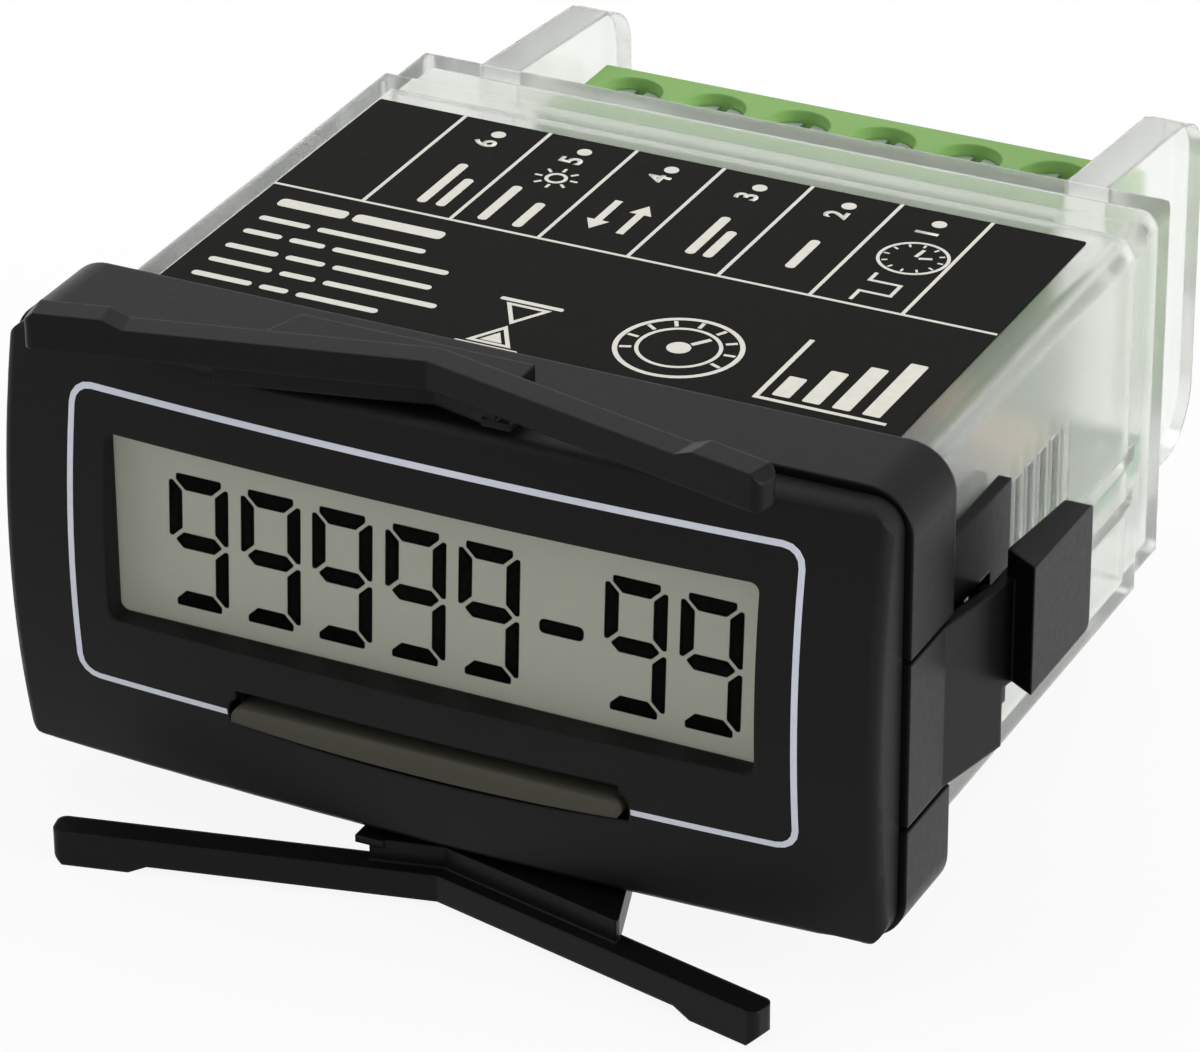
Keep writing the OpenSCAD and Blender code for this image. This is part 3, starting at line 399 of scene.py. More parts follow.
class Finish(Enum):
    """Every finish on the meter, named for its real material."""

    # ABS moulded in a spark-eroded tool: near black, a fine grain that breaks up the gloss
    BEZEL_ABS = Moulding("bezel_black_abs", "#0f0f0f", "#131312", rough=0.46, grain_mm=0.4,
                         relief_mm=0.008, rim_mm=0.25, specular=0.1)
    # Nylon moulded in a plain tool: black, a silky face that pales where light grazes it
    CLIP_NYLON = Moulding("clip_black_nylon", "#0a0a0b", "#0e0e0f", rough=0.34, grain_mm=0.5,
                          rim_mm=0.22, specular=0.1)
    # Compression-moulded rubber: warm dark grey and matt
    BUTTON_RUBBER = Moulding("button_grey_rubber", "#3c3c34", "#45443b", rough=0.62, grain_mm=0.3,
                             rim_mm=0.3, specular=0.14)
    # Reverse-printed polyester film: a flat, even black with a dull sheen
    LABEL_FILM = Moulding("label_black_film", "#0c0c09", "#10100d", rough=0.5, grain_mm=0.25,
                          relief_mm=0.002, rim_mm=0.05, specular=0.03)
    # Moulded polyamide: leaf green, slightly waxy
    TERMINAL_NYLON = Moulding("terminal_green_nylon", "#7ca75a", "#709b4e", rough=0.45,
                              grain_mm=0.5, rim_mm=0.2, specular=0.3)
    # Transfer-moulded epoxy: charcoal, with a sandy face
    CHIP_EPOXY = Moulding("chip_black_epoxy", "#1d1e20", "#26272a", rough=0.55, grain_mm=0.2,
                          relief_mm=0.01, rim_mm=0.1)
    # Layered silicone: dark and dull
    ZEBRA_RUBBER = Moulding("zebra_dark_rubber", "#2b2b2e", "#1f1f22", rough=0.7, grain_mm=0.18,
                            relief_mm=0.01, rim_mm=0.1)
    # Moulded opal acrylic: bright and even
    GUIDE_ACRYLIC = Moulding("light_guide_white", "#eef1ee", "#e2e6e2", rough=0.4, grain_mm=0.4,
                             relief_mm=0.004)
    # Moulded acetal: cream, with a soft sheen
    PLUNGER_ACETAL = Moulding("plunger_cream_acetal", "#d9d4c8", "#cfc9bb", rough=0.45)
    # Heat-shrunk PVC sleeve: blue under a thin gloss
    SLEEVE_PVC = Moulding("capacitor_blue_sleeve", "#2c3f66", "#35496f", rough=0.35)
    # Dipped lacquer: tan and glossy
    RESISTOR_LACQUER = Moulding("resistor_tan_lacquer", "#c8a878", "#b99765", rough=0.35)
    # Laminated polariser: an even grey-green, kept bright in its deep window by painted light, an
    # emission in its own tone
    DISPLAY_FILM = Moulding("display_grey_polariser", "#7b7d73", "#787a70", rough=0.5,
                            grain_mm=0.12, relief_mm=0.001, rim_mm=0.1, specular=0.05,
                            cloud_mm=14.0, glow=0.75)
    # Dark state of the liquid crystal: flat black, no sheen of its own
    SEGMENT_INK = Moulding("display_black_segment", "#030303", "#050504", rough=0.6, grain_mm=0.2,
                           relief_mm=0.001, rim_mm=0.02, specular=0.0)
    # Moulded polycarbonate: clear walls with a breath of haze, bright along the edges
    HOUSING_CLEAR = ClearMoulding("housing_clear_polycarbonate", "#f3f5f1", rough=0.18, clear=0.92)
    # Polished acrylic: hardly there, with a hard gloss
    WINDOW_ACRYLIC = WindowPlastic("window_clear_acrylic", "#0c0e10", alpha=0.03, rough=0.08)
    # Turned steel, zinc plated: bright, with fine lathe lines
    SCREW_ZINC = PlatedMetal("screw_zinc_plate", "#d6d9da", "#b8bcbe", rough=0.5)
    # Stamped steel, zinc plated: pale grey, duller in colour than the screws
    CLAMP_ZINC = PlatedMetal("clamp_zinc_plate", "#c2c6c8", "#a3a7aa", rough=0.36)
    # Drawn nickel-plated steel: smooth and pale
    CELL_NICKEL = PlatedMetal("cell_nickel_plate", "#c6c8c9", "#b0b3b5", rough=0.28)
    # Rolled nickel strip: soft grey with rolling lines
    TAB_NICKEL = PlatedMetal("tab_rolled_nickel", "#cbcac5", "#b4b3ad", rough=0.34)
    # Gold-flashed brass wire: warm yellow
    PIN_GOLD = PlatedMetal("pin_gold_flash", "#d8b45a", "#c49c42", rough=0.28)
    # Tinned brass strip: dull, with a warm cast
    PIN_TIN = PlatedMetal("pin_tinned_brass", "#cdbf9a", "#b3a57e", rough=0.38)
    # Glass-fibre laminate under green mask: gloss, with track lanes in a lighter green
    BOARD = BoardLaminate("board_green_mask", "#2f6b3c", "#3f8a4e")
    # Pad-printed ink: matt bluish white
    FRONT_INK = PrintInk("front_white_ink", "#d2d5e0", "#c2c6d4")
    # Screen-printed ink: matt cream
    LABEL_INK = PrintInk("label_cream_ink", "#d9d7cd", "#c6c4ba")


class Palette:
    """Builds each finish once and hands it out."""

    def __init__(self) -> None:
        """Starts with no material made."""
        self.made: dict[Finish, bpy.types.Material] = {}

    def get(self, finish: Finish) -> bpy.types.Material:
        """Material of a finish.

        Args:
            finish: finish that is wanted.

        Returns:
            Its material, made on the first call.
        """
        if finish not in self.made:
            self.made[finish] = finish.value.build()
        return self.made[finish]

    def dress(self, piece: bpy.types.Object, finish: Finish) -> None:
        """Puts one finish on a piece.

        Args:
            piece: CAD node or print that is dressed.
            finish: its finish.
        """
        piece.data.materials.clear()
        piece.data.materials.append(self.get(finish))
        LOG.info("%s dressed in %s", piece.name, finish.value.name)


class Plane(Enum):
    """Surfaces that carry print: across, up and out directions in the row frame."""

    LABEL = ((1, 0, 0), (0, 1, 0), (0, 0, 1))
    FRONT = ((1, 0, 0), (0, 0, 1), (0, -1, 0))

    def placing(self, height: float) -> Matrix:
        """Matrix from millimetres on the plane to metres in the row frame.

        Args:
            height: distance of the plane from the row frame's origin, along its out direction.

        Returns:
            The placing matrix.
        """
        across, up, out = (Vector(v) for v in self.value)
        turn = Matrix((across, up, out)).transposed().to_4x4()
        return Matrix.Scale(MM, 4) @ turn @ Matrix.Translation((0, 0, height))


class Stencil:
    """Collects flat print shapes in millimetres, then raises them into one thin mesh."""

    CORNER_STEPS: int = 4
    # How much a number's strokes are thickened, as a share of its type size
    TYPE_WEIGHT: float = 0.025

    def __init__(self) -> None:
        """Starts with no shape."""
        self.mesh = bmesh.new()

    def bar(self, u: float, v: float, width: float, height: float, turn: float = 0.0,
            corner: float = 0.0) -> list[bmesh.types.BMVert]:
        """Adds a bar.

        Args:
            u: middle across.
            v: middle up.
            width: size across before turning.
            height: size up before turning.
            turn: angle in degrees.
            corner: corner radius.

        Returns:
            Its four corners, or none where they are rounded.
        """
        place = (Matrix.Translation((u, v, 0)) @ Matrix.Rotation(math.radians(turn), 4, "Z")
                 @ Matrix.Diagonal((width, height, 1, 1)))
        made = bmesh.ops.create_grid(self.mesh, x_segments=1, y_segments=1, size=0.5, matrix=place)
        if not corner:
            return made["verts"]
        bmesh.ops.bevel(self.mesh, geom=made["verts"], offset=corner, affect="VERTICES",
                        segments=self.CORNER_STEPS, profile=0.5, material=-1)
        return []

    def disc(self, u: float, v: float, radius: float, sides: int = 24,
             turn: float = 0.0) -> bmesh.types.BMFace:
        """Adds a filled disc, or a polygon with few sides.

        Args:
            u: middle across.
            v: middle up.
            radius: radius of its corners.
            sides: number of sides.
            turn: angle in degrees.

        Returns:
            The face.
        """
        place = Matrix.Translation((u, v, 0)) @ Matrix.Rotation(math.radians(turn), 4, "Z")
        made = bmesh.ops.create_circle(self.mesh, cap_ends=True, radius=radius, segments=sides,
                                       matrix=place)
        return made["verts"][0].link_faces[0]

    def hollow(self, face: bmesh.types.BMFace, line: float) -> None:
        """Leaves only a line along the rim of a face.

        Args:
            face: shape that is hollowed.
            line: width of the line.
        """
        bmesh.ops.inset_individual(self.mesh, faces=[face], thickness=line, use_even_offset=True)
        bmesh.ops.delete(self.mesh, geom=[face], context="FACES")

    def ring(self, u: float, v: float, radius: float, line: float, sides: int = 40,
             turn: float = 0.0) -> None:
        """Adds an outline; u and v are its middle, radius its outer one, turn in degrees."""
        self.hollow(self.disc(u, v, radius, sides, turn), line)

    def spokes(self, u: float, v: float, reach: float, length: float, line: float,
               angles: Iterable[float]) -> None:
        """Adds short bars that point away from a middle.

        Args:
            u: middle across.
            v: middle up.
            reach: distance of each bar's middle.
            length: length of each bar.
            line: its width.
            angles: directions in degrees.
        """
        for angle in angles:
            a = math.radians(angle)
            self.bar(u + reach * math.cos(a), v + reach * math.sin(a), length, line, angle)

    def path(self, points: list[tuple[float, float]], line: float) -> None:
        """Adds a line with square corners through points, as bars that meet without overlap.

        Args:
            points: corners of the line.
            line: its width.
        """
        for start, end in zip(points, points[1:]):
            run = Vector(end) - Vector(start)
            last = line if end == points[-1] else 0
            middle = (Vector(start) + Vector(end) - run.normalized() * (line - last)) / 2
            angle = math.degrees(math.atan2(run.y, run.x))
            self.bar(middle.x, middle.y, run.length + last, line, angle)

    def numeral(self, u: float, v: float, text: str, size: float, turn: float) -> None:
        """Adds a terminal number.

        Args:
            u: middle across.
            v: middle up.
            text: the number.
            size: type size.
            turn: angle in degrees.
        """
        curve = bpy.data.curves.new("numeral", "FONT")
        curve.body, curve.size, curve.offset = text, size, size * self.TYPE_WEIGHT
        curve.align_x, curve.align_y = "CENTER", "CENTER"
        holder = bpy.data.objects.new("numeral", curve)
        flat = bpy.data.meshes.new_from_object(holder)
        flat.transform(Matrix.Translation((u, v, 0)) @ Matrix.Rotation(math.radians(turn), 4, "Z"))
        self.mesh.from_mesh(flat)
        bpy.data.objects.remove(holder)
        bpy.data.curves.remove(curve)
        bpy.data.meshes.remove(flat)

    def raise_by(self, height: float) -> None:
        """Gives every shape its thickness.

        Args:
            height: thickness of the ink.
        """
        for face in self.mesh.faces:
            if face.normal.z < 0:
                face.normal_flip()
        raised = bmesh.ops.extrude_face_region(self.mesh, geom=self.mesh.faces[:])
        verts = [g for g in raised["geom"] if isinstance(g, bmesh.types.BMVert)]
        bmesh.ops.translate(self.mesh, verts=verts, vec=(0, 0, height))
        bmesh.ops.recalc_face_normals(self.mesh, faces=self.mesh.faces[:])

    def piece(self, name: str, placing: Matrix, body: str, slot: str) -> bpy.types.Object:
        """Turns the shapes into a piece that rides on a body.

        Args:
            name: piece name.
            placing: matrix from the plane to the row frame.
            body: CAD body it rides on.
            slot: the record's material slot meant for it; not used.

        Returns:
            The new object.
        """
        bmesh.ops.transform(self.mesh, matrix=placing, verts=self.mesh.verts[:])
        data = bpy.data.meshes.new(name)
        self.mesh.to_mesh(data)
        self.mesh.free()
        made = bpy.data.objects.new(name, data)
        bpy.context.scene.collection.objects.link(made)
        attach(made, body)
        LOG.info("%s: %d faces on %s", name, len(data.polygons), body)
        return made


@dataclass
class Assembly(ABC):
    """Sub-assembly of the meter: CAD nodes that take a finish each."""

    palette: Palette
    nodes: dict[str, bpy.types.Object]

    @abstractmethod
    def finishes(self) -> dict[str, Finish]:
        """Finish of each node.

        Returns:
            Finishes by node name.
        """

    def build(self) -> None:
        """Dresses every node."""
        for node, finish in self.finishes().items():
            self.palette.dress(self.nodes[node], finish)


@dataclass
class FrontFace(Assembly):
    """Domed bezel with its printed outline, the window and the reset button."""

    peak_mm: float = 3.8
    side_radius_mm: float = 50.0
    top_radius_mm: float = 317.0
    half_width_mm: float = 20.0
    low_mm: float = -6.7
    high_mm: float = 9.85
    line_mm: float = 0.33
    corner_mm: float = 1.2
    gap_mm: float = 11.2
    step_mm: float = 1.4
    ink_mm: float = 0.02

    def finishes(self) -> dict[str, Finish]:
        """Finish of each node."""
        return {"front_bezel": Finish.BEZEL_ABS, "window_lens": Finish.WINDOW_ACRYLIC,
                "reset_button": Finish.BUTTON_RUBBER, "switch_plunger": Finish.PLUNGER_ACETAL}

    def face_out(self, x: float, z: float) -> float:
        """How far the domed face stands ahead of the panel seat.

        Args:
            x: place across, in millimetres.
            z: place up, in millimetres.

        Returns:
            Distance in millimetres.
        """
        drop = self.top_radius_mm - math.sqrt(self.top_radius_mm ** 2 - x * x)
        reach = self.side_radius_mm - drop
        return math.sqrt(reach * reach - z * z) - self.side_radius_mm + self.peak_mm

    def cut(self, mesh: bmesh.types.BMesh) -> None:
        """Cuts the flat outline at the button's gap, and into short steps that follow the dome.

        Args:
            mesh: the outline.
        """
        width, height = 2 * self.half_width_mm, self.high_mm - self.low_mm
        across, up = Vector((1, 0, 0)), Vector((0, 1, 0))
        cuts = [(across * side * self.gap_mm, across) for side in (-1, 1)]
        count = round(width / self.step_mm)
        cuts += [(across * (i / count - 0.5) * width, across) for i in range(1, count)]
        count = round(height / self.step_mm)
        cuts += [(up * (self.low_mm + i / count * height), up) for i in range(1, count)]
        for place, normal in cuts:
            bmesh.ops.bisect_plane(mesh, geom=mesh.verts[:] + mesh.edges[:] + mesh.faces[:],
                                   plane_co=place, plane_no=normal)

    def outline(self) -> None:
        """Prints the thin frame around window and button, open at the button."""
        stencil = Stencil()
        mesh = stencil.mesh
        stencil.bar(0, (self.high_mm + self.low_mm) / 2, 2 * self.half_width_mm,
                    self.high_mm - self.low_mm, corner=self.corner_mm)
        stencil.hollow(mesh.faces[:][0], self.line_mm)
        self.cut(mesh)
        middles = {face: face.calc_center_median() for face in mesh.faces}
        opened = [face for face, at in middles.items() if abs(at.x) < self.gap_mm and at.y < 0]
        bmesh.ops.delete(mesh, geom=opened, context="FACES")
        stencil.raise_by(self.ink_mm)
        for vert in mesh.verts:
            vert.co.z += self.face_out(vert.co.x, vert.co.y)
        made = stencil.piece("front_outline_print", Plane.FRONT.placing(0), CASE, "bezel_black")
        self.palette.dress(made, Finish.FRONT_INK)

    def build(self) -> None:
        """Dresses the front and prints its outline."""
        super().build()
        self.outline()


class Segment(Enum):
    """Segments of a numeral: place across and up, whether it stands, and its outer side."""

    TOP = (0, 1, False, 1)
    MIDDLE = (0, 0, False, 0)
    BOTTOM = (0, -1, False, -1)
    UPPER_LEFT = (-1, 1, True, 1)
    UPPER_RIGHT = (1, 1, True, -1)
    LOWER_LEFT = (-1, -1, True, 1)
    LOWER_RIGHT = (1, -1, True, -1)


# The numeral that the display shows in every place
NINE = tuple(segment for segment in Segment if segment is not Segment.LOWER_LEFT)


@dataclass
class Display(Assembly):
    """Liquid crystal display: polariser film, dark segments, backlight and connector."""

    ink_mm: float = 0.03
    digit_w_mm: float = 3.35
    digit_h_mm: float = 7.5
    middle_mm: float = 1.55
    upright_mm: float = 0.74
    level_mm: float = 0.88
    level_run_mm: float = 2.536
    gap_mm: float = 0.17
    mitre_mm: float = 0.52
    middle_mitre_mm: float = 0.39
    round_mm: float = 0.1
    lean: float = 0.03
    digits_mm: tuple[float, ...] = (-13.54, -9.47, -5.46, -1.39, 2.64, 10.57, 14.6)
    dash_mm: float = 6.6
    dash_w_mm: float = 2.4
    dash_h_mm: float = 0.792
    dash_corner_mm: float = 0.28
    front_mm: float = field(init=False)

    def __post_init__(self) -> None:
        """Takes the place of the display's front from the frame."""
        self.front_mm = -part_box("lcd_panel")[0].y / MM

    def finishes(self) -> dict[str, Finish]:
        """Finish of each node."""
        return {"lcd_panel": Finish.DISPLAY_FILM, "zebra_strip": Finish.ZEBRA_RUBBER,
                "backlight_guide": Finish.GUIDE_ACRYLIC}

    def segment(self, stencil: Stencil, u: float, segment: Segment) -> None:
        """Adds one segment with mitred ends.

        Args:
            stencil: takes the shape.
            u: middle of the numeral.
            segment: which one.
        """
        across, up, stands, outer = segment.value
        half_w = (self.digit_w_mm - self.upright_mm) / 2
        half_h = (self.digit_h_mm - self.level_mm) / 2
        if stands:
            corners = stencil.bar(u + across * half_w,
                                  self.middle_mm + up * (half_h + self.gap_mm) / 2,
                                  half_h - self.gap_mm, self.upright_mm, turn=90)
        else:
            corners = stencil.bar(u, self.middle_mm + up * half_h, self.level_run_mm, self.level_mm)
        centre = sum((v.co for v in corners), Vector()) / len(corners)
        arms = [v.co - centre for v in corners]
        side = [-outer * arm.x if stands else outer * arm.y for arm in arms]
        inner = [v for v, s in zip(corners, side) if s <= 0]
        outside = [v for v, s in zip(corners, side) if s > 0]
        mitre = self.mitre_mm if outer else self.middle_mitre_mm
        bmesh.ops.bevel(stencil.mesh, geom=inner, offset=mitre, affect="VERTICES", segments=1,
                        profile=0.5, material=-1)
        if outside:
            bmesh.ops.bevel(stencil.mesh, geom=outside, offset=self.round_mm, affect="VERTICES",
                            segments=2, profile=0.5, material=-1)

    def reading(self) -> None:
        """Draws the reading as one piece."""
        stencil = Stencil()
        for u in self.digits_mm:
            for segment in NINE:
                self.segment(stencil, u, segment)
        stencil.bar(self.dash_mm, self.middle_mm, self.dash_w_mm, self.dash_h_mm,
                    corner=self.dash_corner_mm)
        for vert in stencil.mesh.verts:
            vert.co.x += self.lean * (vert.co.y - self.middle_mm)
        stencil.raise_by(self.ink_mm)
        placing = Plane.FRONT.placing(self.front_mm)
        made = stencil.piece("display_segments", placing, CASE, "display_grey")
        self.palette.dress(made, Finish.SEGMENT_INK)

    def build(self) -> None:
        """Dresses the display stack and draws the reading."""
        super().build()
        self.reading()


@dataclass(frozen=True)
class BarRow:
    """Row of plain rounded bars on the label."""

    back_mm: float
    runs_mm: tuple[float, ...]
    tall_mm: float = 0.5
    gap_mm: float = 0.5
    corner_mm: float = 0.22

    def draw(self, stencil: Stencil, left: float) -> None:
        """Adds the row.

        Args:
            stencil: takes the shapes.
            left: where the row starts.
        """
        for run in self.runs_mm:
            stencil.bar(left + run / 2, self.back_mm, run, self.tall_mm, corner=self.corner_mm)
            left += run + self.gap_mm


@dataclass(frozen=True)
class CellBars:
    """Plain upright bars in one terminal's cell, each shorter than the one before."""

    way: int
    offsets_mm: tuple[float, ...]
    low_mm: float
    high_mm: float
    wide_mm: float = 0.55
    corner_mm: float = 0.24
    shorter: float = 0.3

    def draw(self, stencil: Stencil, x: float) -> None:
        """Adds the bars.

        Args:
            stencil: takes the shapes.
            x: middle of the cell.
        """
        for i, offset in enumerate(self.offsets_mm):
            tall = (self.high_mm - self.low_mm) * (1 - self.shorter * i)
            stencil.bar(x + offset, self.low_mm + tall / 2, self.wide_mm, tall,
                        corner=self.corner_mm)


@dataclass
class TopLabel(Assembly):
    """Black film label: dividers, terminal numbers with dots, and plain marks."""

    divider_mm: float = 19.5
    line_mm: float = 0.2
    ink_mm: float = 0.015
    edge_mm: float = 0.02
    margin_mm: float = 1.3
    dot_mm: float = 0.4
    dot_shift_mm: float = 0.12
    dot_back_mm: float = 29.8
    number_mm: float = 1.75
    number_back_mm: float = 28.6
    rows: tuple[BarRow, ...] = (
        BarRow(17.6, (4.0, 5.2), tall_mm=0.9, gap_mm=0.4, corner_mm=0.3),
        BarRow(15.55, (2.9, 6.2)), BarRow(13.85, (2.2, 2.0, 6.6)), BarRow(12.0, (3.0, 2.2, 5.6)),
        BarRow(10.25, (3.6, 2.0, 6.4)), BarRow(8.5, (3.4, 1.6, 4.6)))
    cells: tuple[CellBars, ...] = (
        CellBars(6, (0.2, 1.3), 20.7, 25.8), CellBars(5, (-1.1, 0.9), 20.2, 24.6),
        CellBars(3, (0.1, 1.1), 21.2, 25.9), CellBars(2, (0.3,), 21.9, 25.4))
    # Places of the cells' marks: across from the terminal's middle, and back
    lamp_mm: tuple[float, float] = (0.2, 26.3)
    arrows_mm: tuple[float, float] = (0.15, 23.5)
    clock_mm: tuple[float, float] = (0.5, 25.6)
    pulse_mm: tuple[float, float] = (0.5, 20.1)
    # Places of the front marks: across and back
    glass_mm: tuple[float, float] = (-1.9, 10.0)
    dial_mm: tuple[float, float] = (6.8, 11.4)
    chart_mm: tuple[float, float] = (15.8, 8.3)
    half_width_mm: float = field(init=False)
    rear_mm: float = field(init=False)
    top_mm: float = field(init=False)
    ways_mm: dict[int, float] = field(init=False)

    def __post_init__(self) -> None:
        """Takes the film's edges and the places of the terminals from the frame."""
        self.half_width_mm, self.rear_mm, self.top_mm = (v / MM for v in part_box("top_label")[1])
        screws = (name for name in self.nodes if name.startswith("terminal_screw_"))
        self.ways_mm = {int(name.rpartition("_")[2]): sum(v.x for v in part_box(name)) / 2 / MM
                        for name in screws}

    def finishes(self) -> dict[str, Finish]:
        """Finish of each node."""
        return {"top_label": Finish.LABEL_FILM}

    def in_cell(self, way: int, place: tuple[float, float]) -> tuple[float, float]:
        """Place on the label of a place in one terminal's cell."""
        return self.ways_mm[way] + place[0], place[1]

    def dividers(self, stencil: Stencil) -> None:
        """Rules the cells of the terminals.

        Args:
            stencil: takes the shapes.
        """
        stencil.bar(0, self.divider_mm, 2 * self.half_width_mm - self.edge_mm, self.line_mm)
        front = self.divider_mm + self.line_mm / 2
        deep = self.rear_mm - front - self.edge_mm
        half_cell = (self.ways_mm[1] - self.ways_mm[2]) / 2
        places = self.ways_mm.values()
        for x in (min(places) - half_cell, *(place + half_cell for place in places)):
            stencil.bar(x, front + deep / 2, self.line_mm, deep)

    def numbers(self, stencil: Stencil) -> None:
        """Numbers each cell and dots its screw end.

        Args:
            stencil: takes the shapes.
        """
        for way, x in self.ways_mm.items():
            stencil.disc(x + self.dot_shift_mm, self.dot_back_mm, self.dot_mm)
            stencil.numeral(x, self.number_back_mm, str(way), self.number_mm, turn=90)

    def bars(self, stencil: Stencil) -> None:
        """Sets the rows of plain bars, and those in the cells.

        Args:
            stencil: takes the shapes.
        """
        for row in self.rows:
            row.draw(stencil, self.margin_mm - self.half_width_mm)
        for cell in self.cells:
            cell.draw(stencil, self.ways_mm[cell.way])

    def lamp(self, stencil: Stencil) -> None:
        """Draws a lamp with rays in cell 5.

        Args:
            stencil: takes the shapes.
        """
        x, y = self.in_cell(5, self.lamp_mm)
        stencil.ring(x, y, radius=0.62, line=0.2, sides=24)
        stencil.spokes(x, y, reach=1.02, length=0.42, line=0.16, angles=range(0, 360, 45))

    def arrows(self, stencil: Stencil) -> None:
        """Draws an arrow down and an arrow up in cell 4.

        Args:
            stencil: takes the shapes.
        """
        x, y = self.in_cell(4, self.arrows_mm)
        apart, shaft_back, head_ahead = 0.85, 0.51, 1.1
        for side in (-1, 1):
            stencil.bar(x + apart * side, y - shaft_back * side, width=0.42, height=2.5)
            stencil.disc(x + apart * side, y + head_ahead * side, radius=0.72, sides=3,
                         turn=0 if side > 0 else 180)

    def clock(self, stencil: Stencil) -> None:
        """Draws a clock and its pulse in cell 1.

        Args:
            stencil: takes the shapes.
        """
        x, y = self.in_cell(1, self.clock_mm)
        stencil.ring(x, y, radius=1.9, line=0.18)
        stencil.spokes(x, y, reach=1.48, length=0.3, line=0.12, angles=range(0, 360, 30))
        minute_hand, hour_hand = (x + 0.08, y + 0.65), (x + 0.58, y + 0.2)
        stencil.bar(*minute_hand, width=0.2, height=0.9, turn=-7)
        stencil.bar(*hour_hand, width=0.7, height=0.2, turn=20)
        x, start = self.in_cell(1, self.pulse_mm)
        low, high = x - 1.0, x + 0.7
        rise, fall, end = start + 1.0, start + 2.3, start + 3.1
        stencil.path([(low, start), (low, rise), (high, rise), (high, fall), (low, fall),
                      (low, end)], line=0.2)

    def sand_glass(self, stencil: Stencil) -> None:
        """Draws a sand glass, with sand in its foot.

        Args:
            stencil: takes the shapes.
        """
        x, y = self.glass_mm
        bulb, plate, sand = 1.55, 2.6, -1.62
        for side, turn in ((1, 180), (-1, 0)):
            stencil.ring(x, y + bulb * side, radius=1.45, line=0.22, sides=3, turn=turn)
            stencil.bar(x, y + plate * side, width=3.5, height=0.32, corner=0.12)
        stencil.disc(x, y + sand, radius=0.7, sides=3)

    def dial(self, stencil: Stencil) -> None:
        """Draws a dial with nine marks and a hand.

        Args:
            stencil: takes the shapes.
        """
        x, y = self.dial_mm
        stencil.ring(x, y, radius=3.3, line=0.26, sides=56)
        stencil.ring(x, y, radius=2.2, line=0.2, sides=48)
        stencil.spokes(x, y, reach=2.65, length=0.6, line=0.2, angles=range(-22, 203, 28))
        hand = x + 0.75, y + 1.02
        stencil.bar(*hand, width=1.1, height=0.26, turn=53.7)
        stencil.disc(x, y, radius=0.62)

    def chart(self, stencil: Stencil) -> None:
        """Draws a bar chart.

        Args:
            stencil: takes the shapes.
        """
        x, y = self.chart_mm
        half, tall = 3.4, 6.6
        first, step, foot = -2.3, 1.6, 0.5
        stencil.path([(x - half, y + tall), (x - half, y), (x + half, y)], line=0.26)
        for i, height in enumerate((2.2, 3.6, 4.8, 6.0)):
            stencil.bar(x + first + step * i, y + foot + height / 2, width=0.95, height=height,
                        corner=0.12)

    def build(self) -> None:
        """Dresses the film and prints it."""
        super().build()
        stencil = Stencil()
        for draw in (self.dividers, self.numbers, self.bars, self.lamp, self.arrows, self.clock,
                     self.sand_glass, self.dial, self.chart):
            draw(stencil)
        stencil.raise_by(self.ink_mm)
        made = stencil.piece("label_print", Plane.LABEL.placing(self.top_mm), CASE, "label_black")
        self.palette.dress(made, Finish.LABEL_INK)


@dataclass
class Enclosure(Assembly):
    """Clear housing and the black panel clip around it."""

    def finishes(self) -> dict[str, Finish]:
        """Finish of each node."""
        return {"housing": Finish.HOUSING_CLEAR, "panel_clip": Finish.CLIP_NYLON}


@dataclass
class Boards(Assembly):
    """Both circuit boards with the parts on them."""

    def finishes(self) -> dict[str, Finish]:
        """Finish of each node.

        Returns:
            Finishes by node name.
        """
        return {
            "display_board": Finish.BOARD, "main_board": Finish.BOARD,
            "driver_chip": Finish.CHIP_EPOXY, "reset_switch": Finish.CHIP_EPOXY,
            "header_strip": Finish.CHIP_EPOXY, "header_pin_row": Finish.PIN_GOLD,
            "lithium_cell": Finish.CELL_NICKEL,
            "cell_tab_upper": Finish.TAB_NICKEL, "cell_tab_lower": Finish.TAB_NICKEL,
            "watch_crystal": Finish.CELL_NICKEL, "filter_capacitor": Finish.SLEEVE_PVC,
            "input_optocoupler": Finish.CHIP_EPOXY, "input_resistor_1": Finish.RESISTOR_LACQUER,
            "input_resistor_2": Finish.RESISTOR_LACQUER}


@dataclass
class Terminals(Assembly):
    """Green terminal block with its screws, clamps and pins."""

    metal: dict[str, Finish] = field(default_factory=lambda: {
        "terminal_screw_": Finish.SCREW_ZINC, "wire_clamp_": Finish.CLAMP_ZINC,
        "terminal_pin_": Finish.PIN_TIN})

    def finishes(self) -> dict[str, Finish]:
        """Finish of each node.

        Returns:
            Finishes by node name.
        """
        found = {name: finish for start, finish in self.metal.items()
                 for name in self.nodes if name.startswith(start)}
        return {"terminal_block": Finish.TERMINAL_NYLON, **found}


@dataclass
class SoftBox:
    """Large soft lamp that faces the meter."""

    name: str
    place_mm: tuple[float, float, float]
    width_mm: float
    height_mm: float
    watts: float

    def build(self, target: Vector) -> None:
        """Hangs the lamp and aims it.

        Args:
            target: point it faces, in metres.
        """
        lamp = bpy.data.lights.new(self.name, "AREA")
        lamp.shape, lamp.size, lamp.size_y = "RECTANGLE", self.width_mm * MM, self.height_mm * MM
        lamp.energy = self.watts
        holder = bpy.data.objects.new(self.name, lamp)
        holder.location = Vector(self.place_mm) * MM
        holder.rotation_euler = (target - holder.location).to_track_quat("-Z", "Y").to_euler()
        bpy.context.scene.collection.objects.link(holder)


